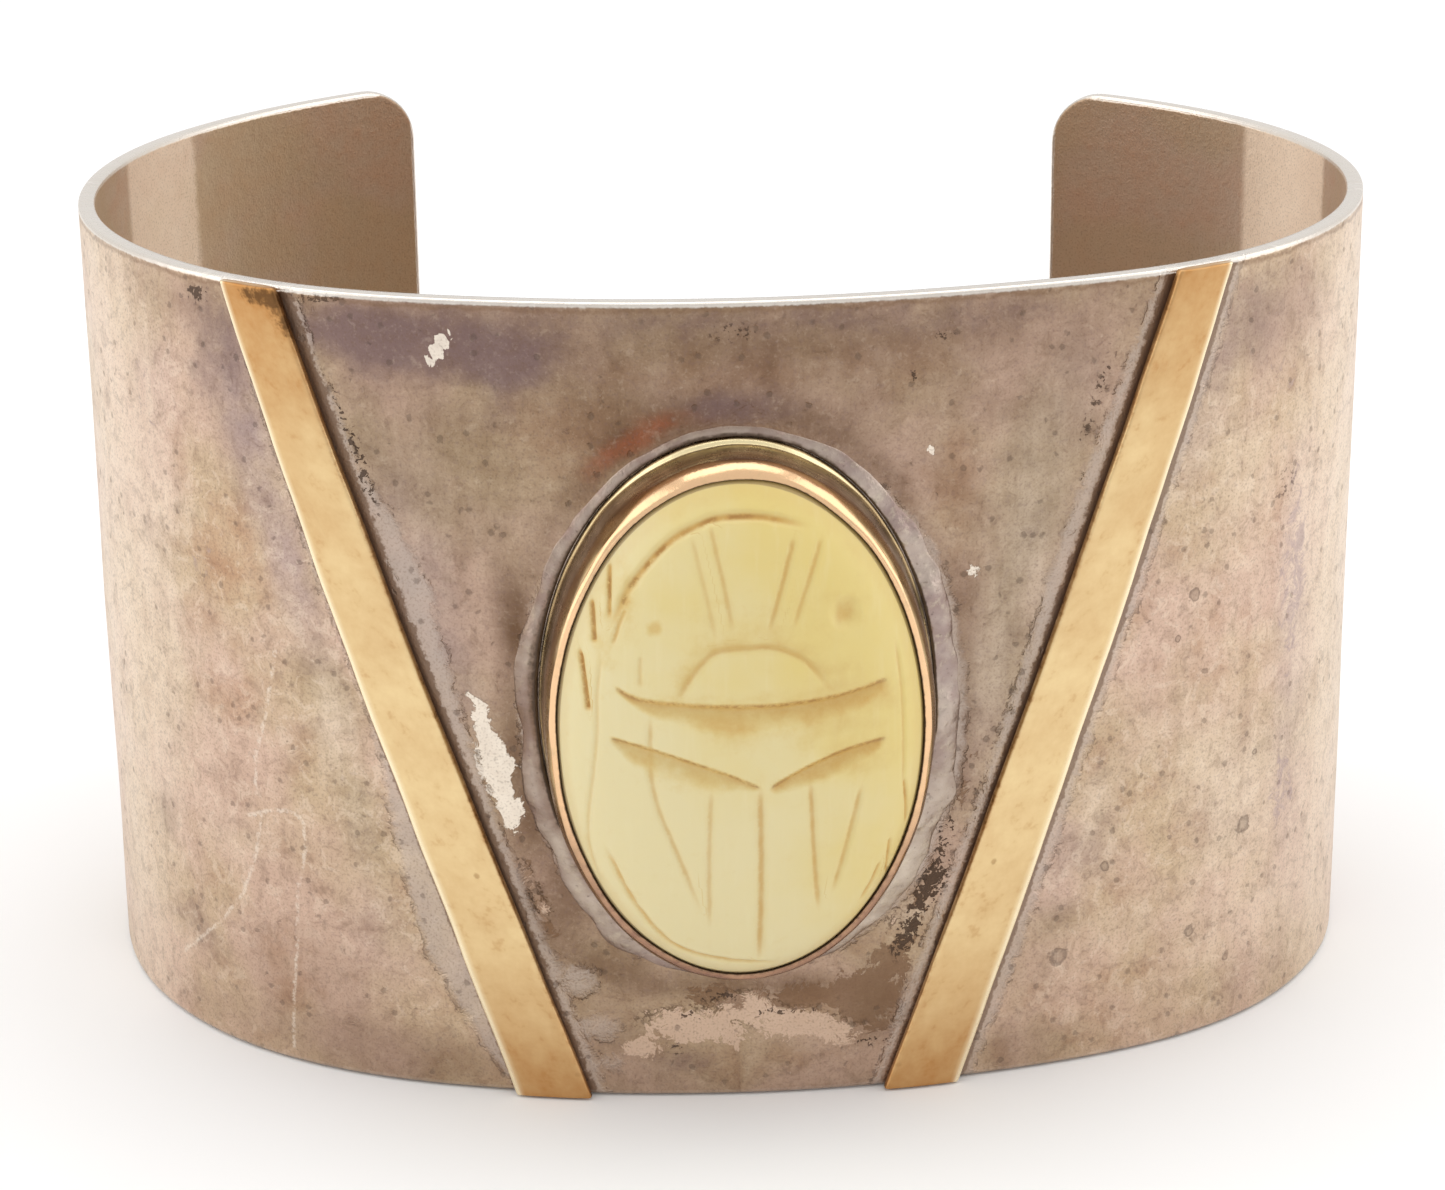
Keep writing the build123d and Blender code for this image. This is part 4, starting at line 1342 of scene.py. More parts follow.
@dataclass
class GoldBar:
    """Flat bar laid across the front, leaning in towards the setting below, its ends level with the rims."""

    bend: Bend
    line: BarLine
    side: Side
    thickness: float = 0.5
    gap: float = 0.04
    edge_round: float = 0.17
    end_round: float = 0.08
    rows: int = 190
    taper: tuple[float, float] = (0.08, -0.12)
    shift: dict[Side, float] = field(default_factory=lambda: {Side.LEFT: 0.2, Side.RIGHT: -0.02})
    top_wear: dict[Side, float] = field(default_factory=lambda: {Side.LEFT: 1.0, Side.RIGHT: 0.84})
    stains: dict[Side, Rows] = field(default_factory=lambda: {
        Side.LEFT: ((-1.75, 19, 0.24, 40, 0.4), (-0.6, 38, 1.2, 0.5, 0.85), (-1.3, 36.9, 0.5, 1, 0.5)),
        Side.RIGHT: ((-1.75, 19, 0.24, 40, 0.4),)})

    def profile(self) -> tuple[np.ndarray, np.ndarray, np.ndarray, np.ndarray]:
        """Closed cross-section: flat below, upright sides, rounded upper edges and a faintly crowned top.

        Returns:
            Inner core and outward way of every profile point, as two places across and two heights.
        """
        high, r = self.thickness, self.edge_round
        flank = self.line.across - r
        corner = np.linspace(0, math.pi / 2, 6)
        top = np.linspace(-1, 1, 21)[1:-1] * flank
        rising = r + np.linspace(0.0, 1.0, 4)[:-1] * (high - 2 * r)
        core_a = np.concatenate([np.full(9, flank), -top, np.full(9, -flank),
                                 np.linspace(-flank, flank, 7)[1:-1]])
        core_h = np.concatenate([rising, np.full(12 + len(top), high - r), rising[::-1], np.full(5, r)])
        way_a = np.concatenate([np.ones(3), np.cos(corner), np.zeros(len(top)), -np.cos(corner[::-1]),
                                -np.ones(3), np.zeros(5)])
        way_h = np.concatenate([np.zeros(3), np.sin(corner), np.ones(len(top)), np.sin(corner[::-1]),
                                np.zeros(3), -np.ones(5)])
        return core_a, core_h, way_a, way_h

    def build(self) -> bpy.types.Object:
        """Carry the profile along the bar; towards the ends it draws in to its core in a quarter circle.

        Returns:
            The bar.
        """
        core_a, core_h, way_a, way_h = self.profile()
        curl = np.linspace(0, math.pi / 2, 5)
        height, across = self.line.height, self.line.across
        z = np.concatenate([self.end_round * (1 - np.cos(curl)),
                            np.linspace(self.end_round, height - self.end_round, self.rows)[1:-1],
                            height - self.end_round * (1 - np.cos(curl[::-1]))])
        draw = np.ones(len(z))
        draw[:5] = 1 - (1 - np.sin(curl)) * self.end_round / self.edge_round
        draw[-5:] = draw[:5][::-1]
        up = z[:, None]
        a = core_a[None, :] + way_a[None, :] * self.edge_round * draw[:, None]
        h = core_h[None, :] + way_h[None, :] * self.edge_round * draw[:, None]
        seed = 40 + self.side.value
        filed = HandWork(6.5, seed).at(up, np.sign(a) * 3.0) * 0.035
        upper = smoothstep(0.3, 1.0, h / self.thickness)
        h = h + upper * (0.03 * (1 - (a / across) ** 2) + 0.014 * HandWork(4.0, seed + 7).at(a, up)
                         + 0.006 * HandWork(1.3, seed + 8).at(a, up))
        spread = 1 + self.taper[0] + (self.taper[1] - self.taper[0]) * up / height + filed / across
        s = self.side.value * (self.line.centre(z)[:, None] + a * spread + self.shift[self.side])
        shell = Shell()
        numbers = shell.add(self.bend.point(s, np.broadcast_to(up, s.shape), self.gap + h))
        shell.grid(np.concatenate([numbers, numbers[:, :1]], 1))
        tips = z[[0, -1]]
        middle = self.side.value * (self.line.centre(tips) + self.shift[self.side])
        poles = shell.add(self.bend.point(middle, tips, self.gap + self.thickness / 2))
        shell.fan(numbers[0], int(poles[0]), flip=True)
        shell.fan(numbers[-1], int(poles[1]))
        return shell.piece(f"gold_bar_{self.side.name.lower()}_worn", self.notes(a, z, h, upper))

    def notes(self, a: np.ndarray, z: np.ndarray, h: np.ndarray, upper: np.ndarray) -> dict[str, np.ndarray]:
        """Place, rubbed outer edge with its painted highlight, reddened ends and stains, each with two more
        values for the poles.

        Args:
            a: Places across the bar, from its inner edge out.
            z: Height of each row.
            h: Lift of each spot.
            upper: How far each spot belongs to the top face.

        Returns:
            Point attributes by name.
        """
        across, up = self.line.across, np.broadcast_to(z[:, None], a.shape)
        place = np.concatenate([np.stack([a, up, h], -1).reshape(-1, 3),
                                [[0.0, z[0], self.thickness], [0.0, z[-1], self.thickness]]])
        # Wear and painted highlight of the outer edge, over its rounding and onto the top.
        worn_edge_highlight = upper * smoothstep(across - 0.36, across - 0.24, a)
        ends = np.exp(-up / 5.0) + self.top_wear[self.side] * np.exp(-(self.line.height - up) / 9.0)
        soil = patches(self.stains[self.side], a, up)
        found = (("worn_edge_highlight", worn_edge_highlight, 0.0), ("ends", ends, 0.5), ("soil", soil, 0.0))
        notes = {name: np.append(values.ravel(), [pole, pole]) for name, values, pole in found}
        return {"place": place} | notes

    def dress(self, piece: bpy.types.Object, finish: bpy.types.Material) -> None:
        """Give the bar its finish and hide the CAD node that it replaces."""
        attach(piece, finish, f"gold_bar_{self.side.name.lower()}")


@dataclass
class Setting:
    """Oval gold setting: a plate, a wall that leans in and a lip burnished over the stone's shoulder.

    Its profile is a list of rings, each with its notes: how much it is lip, painted ledge highlight, plum
    stain, grime and moss.
    """

    oval: Oval
    wall: float = 0.4
    lip_wall: float = 0.3
    lean: float = 0.15
    gap: float = 0.05
    lip_edge: float = 0.13
    floor: float = 0.4
    ledge: float = 0.08
    flare: float = 0.15
    wall_top: float = 0.8
    shoulder: float = 3.02
    shoulder_drop: float = 0.57
    turns: int = 640
    plate: tuple[float, ...] = (0.25, 0.5, 0.75, 0.93, 1.0)
    wall_parts: tuple[float, ...] = (0.03, 0.08, 0.11, 0.125, 0.14, 0.16, 0.22, 0.3, 0.4, 0.5, 0.6, 0.7, 0.8,
                                     0.87, 0.94, 1.0)
    inside: tuple[float, ...] = (0.97, 0.8, 0.5, 0.2, 0.0)
    pocket: Table = ((1.4, 1.0), (0.4, 1.0), (0.4, 0.75), (0.4, 0.4))

    def __post_init__(self) -> None:
        """Work out what all rings share: angles, hand-beaten unevenness, and the lip's shoulder and tip."""
        oval = self.oval
        self.turn = np.linspace(0, 2 * math.pi, self.turns, endpoint=False)[:, None]
        girth = oval.outline(self.turn, 0.0)
        self.beaten = HandWork(3.4, 31).at(*girth) * 0.035 + HandWork(1.5, 32).at(*girth) * 0.012
        self.low = smoothstep(-0.1, -0.8, np.sin(self.turn))
        self.top = oval.top_share(np.sin(self.turn))
        self.bent = (self.shoulder - self.shoulder_drop * self.top
                     + (0.05 + 0.1 * self.top) * HandWork(2.6, 34).at(*girth))
        self.tip = oval.tip + oval.tip_rise * self.top + 0.04 * HandWork(4.2, 33).at(*girth)
        self.foot_out = self.gap + self.wall + self.lean
        self.rings: list[np.ndarray] = []
        self.marks: list[tuple[np.ndarray | float, ...]] = []

    def ring(self, points: np.ndarray, lip: np.ndarray | float, ledge: np.ndarray | float = 0.0,
             plum: np.ndarray | float = 0.0, grime: np.ndarray | float = 0.0,
             moss: np.ndarray | float = 0.0) -> None:
        """Add a ring of the profile with its notes."""
        self.rings.append(points)
        self.marks.append((lip, ledge, plum, grime, moss))

    def raise_wall(self) -> None:
        """Rings of the plate and the wall: a flared foot, a ledge, the lean, then the turn to the shoulder."""
        oval, top = self.oval, self.top
        for share in self.plate:
            x, z = oval.shrunk(self.turn, self.foot_out, share)
            self.ring(oval.bend.point(oval.bend.s_at(x), z, self.gap), 0.0, grime=1.0)
        foot = oval.bend.shift[1] - self.rings[-1][..., 1]
        for part in self.wall_parts:
            up = min(part / self.wall_top, 1.0)
            reach = foot + (oval.girdle - foot) * up
            reach = reach + (self.bent - oval.girdle) * max(part - self.wall_top, 0) / (1 - self.wall_top)
            step = smoothstep(0.1, 0.15, part) * self.ledge + smoothstep(0.05, 0.17, part) * self.flare * top
            out = self.foot_out - step - (self.lean - self.ledge) * up + self.beaten * math.sin(math.pi * part)
            turned = smoothstep(0.5 + 0.25 * (1 - top), 1.0, part)
            # The ledge note is a painted highlight: along the ledge, and up the lower wall at the top of the
            # oval.
            self.ring(oval.on_dome(self.turn, reach, out + (self.lip_wall + self.gap - out) * turned),
                      0.3 * part ** 3 * top, bell(part, 0.11, 0.05) + 0.75 * top * bell(part, 0.27, 0.13),
                      (0.25 + 0.35 * top) * bell(part, 0.85, 0.15) + 0.45 * self.low,
                      0.8 * bell(part, 0.17, 0.02) + 0.3 * bell(part, 0.97, 0.04),
                      min(part / 0.35, 1.0) * (0.85 - 0.65 * top) * (1 - 0.4 * self.low))

    def turn_lip(self) -> None:
        """Rings of the lip, which thins out over the stone, and of its rounded edge."""
        for part in np.linspace(0.1, 1, 12):
            metal = self.gap + self.lip_edge + (self.lip_wall - self.lip_edge) * (1 - part ** 2.2)
            metal = metal + self.beaten * (1 - part) * 0.8
            reach = self.bent + (self.tip - self.bent) * math.sin(part * math.pi / 2)
            self.ring(self.oval.on_dome(self.turn, reach, metal), 0.35 + 0.65 * min(part * 3, 1.0), 0.0,
                      0.8 * self.low, 0.2 * part ** 8 + 0.3 * self.low,
                      max(0.0, 1 - part * 3) * 0.7 * (1 - self.top))
        half_edge = self.lip_edge / 2
        for angle in np.linspace(25, 90, 4):
            turn_in = math.radians(angle)
            metal = self.gap + half_edge + half_edge * math.cos(turn_in) - 0.02 * angle / 90
            self.ring(self.oval.on_dome(self.turn, self.tip + 0.04 * math.sin(2 * turn_in), metal), 1.0, 0.0,
                      0.6 * self.low, 0.3 + 0.6 * angle / 90)

    def line_pocket(self) -> None:
        """Rings down inside the lip and the wall and in over the floor of the pocket."""
        oval = self.oval
        for part in self.inside:
            reach = oval.girdle + part * (self.tip - oval.girdle)
            self.ring(oval.on_dome(self.turn, reach, self.gap), 0.3, grime=1.2)
        for reach, share in self.pocket:
            self.ring(oval.raised(*oval.shrunk(self.turn, self.gap, share), reach), 0.0, grime=1.2)

    def build(self) -> bpy.types.Object:
        """Sweep the profile round the oval, from the pole under the plate out, up, over the lip and back in.

        Returns:
            The setting.
        """
        self.raise_wall()
        self.turn_lip()
        self.line_pocket()
        shell = Shell()
        numbers = shell.add(np.concatenate(self.rings, 1))
        shell.grid(np.concatenate([numbers, numbers[:1]], 0))
        middle, height = np.array([0.0]), np.array([self.oval.centre_z])
        poles = shell.add(np.concatenate([self.oval.bend.point(middle, height, self.gap),
                                          self.oval.raised(middle, height, self.floor)]))
        shell.fan(numbers[:, 0], int(poles[0]))
        shell.fan(numbers[:, -1], int(poles[1]), flip=True)
        found = {"place": np.concatenate(shell.points)}
        for k, name in enumerate(("lip", "ledge", "plum", "grime", "moss")):
            columns = np.concatenate([np.broadcast_to(mark[k], self.turn.shape) for mark in self.marks], 1)
            found[name] = np.append(columns.ravel(), [0.0, 0.0])
        return shell.piece("oval_setting", found)

    def dress(self, piece: bpy.types.Object) -> None:
        """Give the setting its finish and hide the CAD node that it replaces."""
        attach(piece, SettingGold().make(), "bezel")


@dataclass(frozen=True)
class Stroke:
    """A carved line: points as shares of the stone's half sizes, its groove, stain, stain width and halo."""

    points: Table
    width: float = 0.26
    depth: float = 0.1
    stain: float = 0.7
    thick: float = 0.16
    halo: float = 0.0


@dataclass(frozen=True)
class Gouge:
    """A scooped cut with a steep upper edge, sloping out to its lower edge; both as points in shares."""

    upper: Table
    lower: Table
    depth: float = 0.42
    stain: float = 1.0


@dataclass
class ScarabStone:
    """Domed oval of bone with the beetle carved in: head, wing case, legs and border lines."""

    oval: Oval
    back: float = 0.45
    across: int = 232
    along: int = 338
    strokes: tuple[Stroke, ...] = (
        Stroke(((-0.673, 0.479), (-0.571, 0.623), (-0.381, 0.769), (-0.194, 0.843), (-0.034, 0.863),
                (0.151, 0.854), (0.353, 0.816)), 0.5, 0.12, 1.15, 0.22),
        Stroke(((-0.254, 0.791), (-0.195, 0.62), (-0.142, 0.443)), 0.3, 0.06, 0.3),
        Stroke(((-0.157, 0.831), (-0.1, 0.65), (-0.05, 0.47)), 0.3, 0.07, 0.5),
        Stroke(((0.276, 0.78), (0.207, 0.62), (0.136, 0.465)), 0.34, 0.09, 0.75),
        Stroke(((0.424, 0.768), (0.343, 0.62), (0.265, 0.473)), 0.3, 0.07, 0.6),
        Stroke(((-0.345, 0.222), (-0.276, 0.303), (-0.157, 0.392), (0.009, 0.41), (0.175, 0.404),
                (0.334, 0.347), (0.468, 0.222)), 0.4, 0.1, 0.75, 0.2, 0.5),
        Stroke(((0.081, -0.132), (0.085, -0.52), (0.079, -0.888)), 0.42, 0.1, 0.8, 0.19),
        Stroke(((-0.178, -0.135), (-0.193, -0.43), (-0.191, -0.718)), 0.3, 0.07, 0.45),
        Stroke(((-0.49, 0.146), (-0.495, -0.054), (-0.458, -0.208), (-0.358, -0.398), (-0.236, -0.643)),
               0.34, 0.08, 0.5),
        Stroke(((0.347, -0.115), (0.371, -0.435), (0.398, -0.656)), 0.34, 0.08, 0.75),
        Stroke(((0.623, -0.161), (0.551, -0.375), (0.471, -0.591)), 0.36, 0.09, 0.65),
        Stroke(((-0.533, 0.373), (-0.54, 0.315), (-0.537, 0.257)), 0.22, 0.05, 0.35),
        Stroke(((-0.682, 0.677), (-0.688, 0.589), (-0.691, 0.488)), 0.26, 0.1, 1.2, 0.17),
        Stroke(((-0.607, 0.534), (-0.64, 0.48), (-0.68, 0.40)), 0.26, 0.08, 0.85, 0.15),
        Stroke(((-0.782, 0.545), (-0.775, 0.468), (-0.772, 0.393)), 0.3, 0.11, 1.3, 0.2),
        Stroke(((-0.851, 0.364), (-0.834, 0.282), (-0.818, 0.19), (-0.814, 0.139)), 0.3, 0.12, 1.35, 0.2),
        Stroke(((0.861, -0.17), (0.876, -0.269), (0.883, -0.374)), 0.26, 0.08, 1.0, 0.14),
        Stroke(((0.789, -0.411), (0.782, -0.495), (0.778, -0.579)), 0.26, 0.08, 1.0, 0.13),
        Stroke(((0.735, -0.508), (0.694, -0.584), (0.63, -0.666)), 0.26, 0.07, 0.8),
        Stroke(((-0.739, 0.355), (-0.764, 0.22), (-0.775, 0.038), (-0.801, -0.125), (-0.828, -0.299),
                (-0.821, -0.434), (-0.76, -0.591)), 0.3, 0.06, 0.3, 0.14),
        Stroke(((0.816, 0.367), (0.848, 0.179), (0.859, -0.015), (0.857, -0.22)), 0.28, 0.06, 0.4, 0.12),
        Stroke(((-0.733, -0.409), (-0.598, -0.623), (-0.39, -0.814), (-0.122, -0.882), (0.178, -0.912)),
               0.34, 0.09, 0.7, 0.18))
    gouges: tuple[Gouge, ...] = (
        Gouge(((-0.68, 0.25), (-0.548, 0.212), (-0.295, 0.199), (0.005, 0.192), (0.288, 0.196), (0.539, 0.212),
               (0.77, 0.24)),
              ((-0.68, 0.235), (-0.439, 0.142), (-0.038, 0.096), (0.266, 0.11), (0.58, 0.145), (0.77, 0.215)),
              0.3, 0.9),
        Gouge(((-0.716, 0.055), (-0.442, 0.013), (-0.122, -0.06), (0.093, -0.128)),
              ((-0.716, 0.035), (-0.585, -0.032), (-0.342, -0.092), (-0.123, -0.126), (0.093, -0.142)),
              0.3, 0.8),
        Gouge(((0.124, -0.128), (0.327, -0.055), (0.537, -0.004), (0.758, 0.017)),
              ((0.124, -0.142), (0.186, -0.148), (0.411, -0.112), (0.644, -0.046), (0.758, 0.0)), 0.3, 1.0))
    smudges: Rows = (
        (0.46, 0.13, 0.34, 0.1, 0.42), (-0.06, 0.1, 0.14, 0.06, 0.4), (0.62, -0.05, 0.2, 0.07, 0.4),
        (0.0, 0.215, 0.7, 0.03, 0.25), (-0.25, -0.1, 0.2, 0.04, 0.25), (0.72, 0.19, 0.1, 0.05, 0.4),
        (-0.72, 0.44, 0.08, 0.12, 0.3), (0.05, 0.5, 0.5, 0.1, 0.15), (-0.6, 0.575, 0.05, 0.1, 0.5),
        (0.545, 0.53, 0.14, 0.1, 0.2), (0.52, 0.28, 0.14, 0.08, 0.3))
    eyes: Rows = (
        (-0.459, 0.477, 0.55, 0.03, 0.6), (0.545, 0.505, 0.9, 0.18, 0.7))

    def disc(self) -> tuple[np.ndarray, np.ndarray, np.ndarray]:
        """Even spread of points over the dome: a square grid squeezed to a disc, then spaced by arc length.

        Returns:
            u and v as shares of the half sizes, and the height share, each across by along. With X, Y from
            -1 to 1 the disc's point is (X root(1 - Y Y / 2), Y root(1 - X X / 2)) at radius q, moved to
            radius sin(q pi / 2) at height cos(q pi / 2).
        """
        x, y = np.meshgrid(np.linspace(-1, 1, self.across), np.linspace(-1, 1, self.along), indexing="ij")
        du, dv = x * np.sqrt(1 - y * y / 2), y * np.sqrt(1 - x * x / 2)
        radius = np.clip(np.hypot(du, dv), 1e-9, 1.0)
        spread = np.sin(radius * math.pi / 2) / radius
        return du * spread, dv * spread, np.cos(radius * math.pi / 2)

    def lifted(self, u: np.ndarray, v: np.ndarray) -> np.ndarray:
        """A spot on the uncarved dome in mm: sideways, along and out from the girdle."""
        high = self.oval.dome * np.sqrt(np.clip(1 - u * u - v * v, 0, 1))
        return np.stack([u * self.oval.half_width, v * self.oval.half_length, high], -1)

    @staticmethod
    def flowing(points: Table, fine: int = 10) -> np.ndarray:
        """Smooth curve through the points, by the cubic whose slopes are half the step between neighbours."""
        p = np.array(points)
        ends = np.concatenate([[2 * p[0] - p[1]], p, [2 * p[-1] - p[-2]]])
        t = np.linspace(0, 1, fine, endpoint=False)[None, :, None]
        a, b, c, d = (ends[k:len(ends) - 3 + k][:, None, :] for k in range(4))
        square, cube = 2 * a - 5 * b + 4 * c - d, 3 * b - a - 3 * c + d
        curve = 0.5 * (2 * b + (c - a) * t + square * t ** 2 + cube * t ** 3)
        return np.concatenate([curve.reshape(-1, 2), p[-1:]])

    def along_stroke(self, spots: np.ndarray, stroke: Stroke) -> tuple[np.ndarray, np.ndarray, np.ndarray]:
        """Distance from each spot to a stroke laid on the dome, how far along it is, and on which side.

        Args:
            spots: Points on the uncarved dome, in mm.
            stroke: The stroke.

        Returns:
            Distance in mm, share of the stroke's length, and 1 or -1 for the side.
        """
        curve = self.flowing(stroke.points)
        line = self.lifted(curve[:, 0], curve[:, 1])
        best = np.full(len(spots), 99.0)
        share, side = np.zeros(len(spots)), np.ones(len(spots))
        count = len(line) - 1
        for k in range(count):
            run, off = line[k + 1] - line[k], spots - line[k]
            t = np.clip(off @ run / (run @ run), 0, 1)
            away = np.linalg.norm(off - t[:, None] * run, axis=1)
            nearer = away < best
            best = np.where(nearer, away, best)
            share = np.where(nearer, (k + t) / count, share)
            side = np.where(nearer, np.where(run[0] * off[:, 1] - run[1] * off[:, 0] < 0, -1.0, 1.0), side)
        return best, share, side

    def carve(self, u: np.ndarray, v: np.ndarray) -> tuple[np.ndarray, dict[str, np.ndarray]]:
        """Depth of the carving and what the finish needs to draw its dirt.

        A line is as deep as (1 - (d / half width) squared) to the 1.3, fading at both ends; its stain is drawn
        by the finish from the signed distance. A scoop falls quickly below its upper edge and comes out in a
        slow slope at its lower edge. Cuts that cross keep the deeper of the two.

        Args:
            u: Shares of the half width.
            v: Shares of the half length.

        Returns:
            Depth in mm, and point attributes by name, all in the order of the spots.
        """
        spots = self.lifted(u, v).reshape(-1, 3)
        depth, dirt, leaf = np.zeros(len(spots)), np.zeros(len(spots)), np.full(len(spots), 9.0)
        line, near, wide = np.full(len(spots), 2.0), np.zeros(len(spots)), np.full(len(spots), 0.05)
        closest = np.full(len(spots), 99.0)
        wobble = HandWork(0.9, 51).at(spots[:, 0], spots[:, 1])
        ragged = HandWork(0.6, 52).at(spots[:, 0], spots[:, 1])
        broad = HandWork(2.2, 53).at(spots[:, 0], spots[:, 1])
        for stroke in self.strokes:
            away, share, side = self.along_stroke(spots, stroke)
            fade = smoothstep(-0.03, 0.1, share) * smoothstep(1.03, 0.84, share)
            groove = np.clip(1 - (away / (stroke.width * (0.62 + 0.1 * wobble))) ** 2, 0, 1)
            depth = np.maximum(depth, stroke.depth * fade * groove ** 1.3)
            nearer = away < closest
            closest = np.where(nearer, away, closest)
            line = np.where(nearer, side * away, line)
            strength = stroke.stain * fade * (1 + 0.15 * wobble) * smoothstep(0.5, 0.36, away)
            near = np.where(nearer, strength, near)
            wide = np.where(nearer, stroke.thick, wide)
            halo = stroke.halo * fade * np.exp(-(away / 0.6) ** 1.3) * (side > 0)
            dirt = np.maximum(dirt, halo * (1 + 0.3 * wobble))
        flat_u, flat_v = u.ravel(), v.ravel()
        for gouge in self.gouges:
            upper, lower = self.flowing(gouge.upper), self.flowing(gouge.lower)
            high = np.interp(flat_u, upper[:, 0], upper[:, 1])
            low = np.interp(flat_u, lower[:, 0], lower[:, 1])
            thick = np.maximum(high - low, 0.004)
            t = (high - flat_v) / thick
            inside = smoothstep(upper[0, 0] - 0.01, upper[0, 0] + 0.05, flat_u)
            inside = inside * smoothstep(upper[-1, 0] + 0.01, upper[-1, 0] - 0.05, flat_u)
            steep = smoothstep(-0.15, 0.3, t) * np.clip(1 - (t - 0.25) / 0.75, 0, 1) ** 0.9
            cut = gouge.depth * np.clip(thick / 0.085, 0, 1) * inside * np.where(t < 1, steep, 0)
            depth = np.maximum(depth, cut)
            below = (high - flat_v) * self.oval.half_length
            edge = smoothstep(1.3, 0.45, t + 0.06 * ragged + 0.22 * broad)
            body = inside * smoothstep(-0.2, -0.02, below) * edge * gouge.stain
            dirt = np.maximum(dirt, body * (0.72 + 0.28 * smoothstep(0.4, 0.0, below)))
            leaf = np.where(inside * smoothstep(1.3, 1.0, t) * smoothstep(-0.8, -0.4, t) > 0.0, below, leaf)
        for spot_u, spot_v, wide_u, high_v, strength in self.smudges:
            q = ((flat_u - spot_u) / wide_u) ** 2 + ((flat_v - spot_v) / high_v) ** 2
            dirt = dirt + strength * np.exp(-q) * (1 + 0.35 * wobble) * (1 - np.clip(dirt, 0, 1))
        for eye_u, eye_v, size, sink, stain in self.eyes:
            centre = self.lifted(np.array([eye_u]), np.array([eye_v]))[0]
            away = np.linalg.norm(spots - centre, axis=1) / size
            depth = np.maximum(depth, sink * np.clip(1 - away ** 2, 0, 1) ** 1.5)
            dirt = np.maximum(dirt, stain * smoothstep(1.0, 0.2, away + 0.06 * ragged))
        return depth, {"dirt": dirt, "leaf": leaf, "line": line, "near": near, "wide": wide}

    def build(self) -> bpy.types.Object:
        """Carved dome, straight girdle and flat back as one closed skin.

        Returns:
            The stone.
        """
        u, v, high = self.disc()
        depth, marks = self.carve(u, v)
        flat = self.lifted(u, v)
        flat[..., 2] = self.oval.dome * high
        a, b, c = self.oval.half_width, self.oval.half_length, self.oval.dome
        slope = np.stack([flat[..., 0] / a ** 2, flat[..., 1] / b ** 2, flat[..., 2] / c ** 2], -1)
        slope = slope / np.linalg.norm(slope, axis=-1, keepdims=True)
        uneven = 0.02 * HandWork(5.0, 61).at(flat[..., 0], flat[..., 1]) * high
        body = flat - slope * (depth.reshape(u.shape) - uneven)[..., None]
        shell = Shell()
        x, z, high = body[..., 0], body[..., 1] + self.oval.centre_z, self.oval.girdle + body[..., 2]
        top = shell.add(self.oval.raised(x, z, high))
        shell.grid(top)
        loop = edge_loop(top)
        rim_x, rim_z = flat[..., 0].ravel()[loop], flat[..., 1].ravel()[loop]
        drop = np.array([1.7, 1.1, self.back + 0.08, self.back, self.back, self.back])[:, None]
        share = np.array([1.0, 1.0, 1.0, 0.99, 0.66, 0.33])[:, None]
        rim_x, rim_z = rim_x[None, :] * share, rim_z[None, :] * share + self.oval.centre_z
        rings = shell.add(self.oval.raised(rim_x, rim_z, drop))
        skirt = np.concatenate([loop[None, :], rings])
        shell.grid(np.concatenate([skirt, skirt[:, :1]], 1))
        pole = shell.add(self.oval.raised(np.array([0.0]), np.array([self.oval.centre_z]), self.back))
        shell.fan(rings[-1], int(pole[0]))
        rest = shell.count - u.size
        q = np.hypot(u, v).ravel()
        top_side = self.oval.top_share(v.ravel() / np.maximum(q, 0.2))
        rise = self.oval.tip - self.oval.girdle + self.oval.tip_rise * top_side
        lip = np.sqrt(1 - (rise / self.oval.dome) ** 2)
        marks = marks | {"rim": smoothstep(0.86, 0.97, q), "brim": smoothstep(lip - 0.014, lip - 0.002, q)}
        place = np.concatenate(shell.points) - np.array([self.oval.bend.shift[0], 0.0, self.oval.centre_z])
        found = {name: np.append(values, np.zeros(rest)) for name, values in marks.items()}
        return shell.piece("carved_scarab", found | {"place": place[:, [0, 2, 1]]})

    def dress(self, piece: bpy.types.Object) -> None:
        """Give the stone its finish and hide the CAD node that it replaces."""
        attach(piece, CarvedBone().make(), "scarab_stone")


def attach(piece: bpy.types.Object, finish: bpy.types.Material, node: str) -> None:
    """Give a piece its finish, fix it to the rigid body and hide the CAD node that it replaces.

    Args:
        piece: The finished piece.
        finish: Its material.
        node: The CAD node that it replaces.
    """
    piece.data.materials.append(finish)
    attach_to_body(piece, "root")
    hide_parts(node)


@dataclass(frozen=True)
class SoftBox:
    """A large soft light that looks at the middle of the cuff."""

    name: str
    place: tuple[float, float, float]
    size: tuple[float, float]
    power: float

    def hang(self) -> None:
        """Put the light up."""
        lamp = bpy.data.lights.new(self.name, "AREA")
        lamp.shape = "RECTANGLE"
        lamp.size, lamp.size_y = self.size
        lamp.energy = self.power
        made = bpy.data.objects.new(self.name, lamp)
        made.location = self.place
        aim = Vector((0.0, 0.0, 0.018)) - Vector(self.place)
        made.rotation_euler = aim.to_track_quat("-Z", "Y").to_euler()
        bpy.context.scene.collection.objects.link(made)


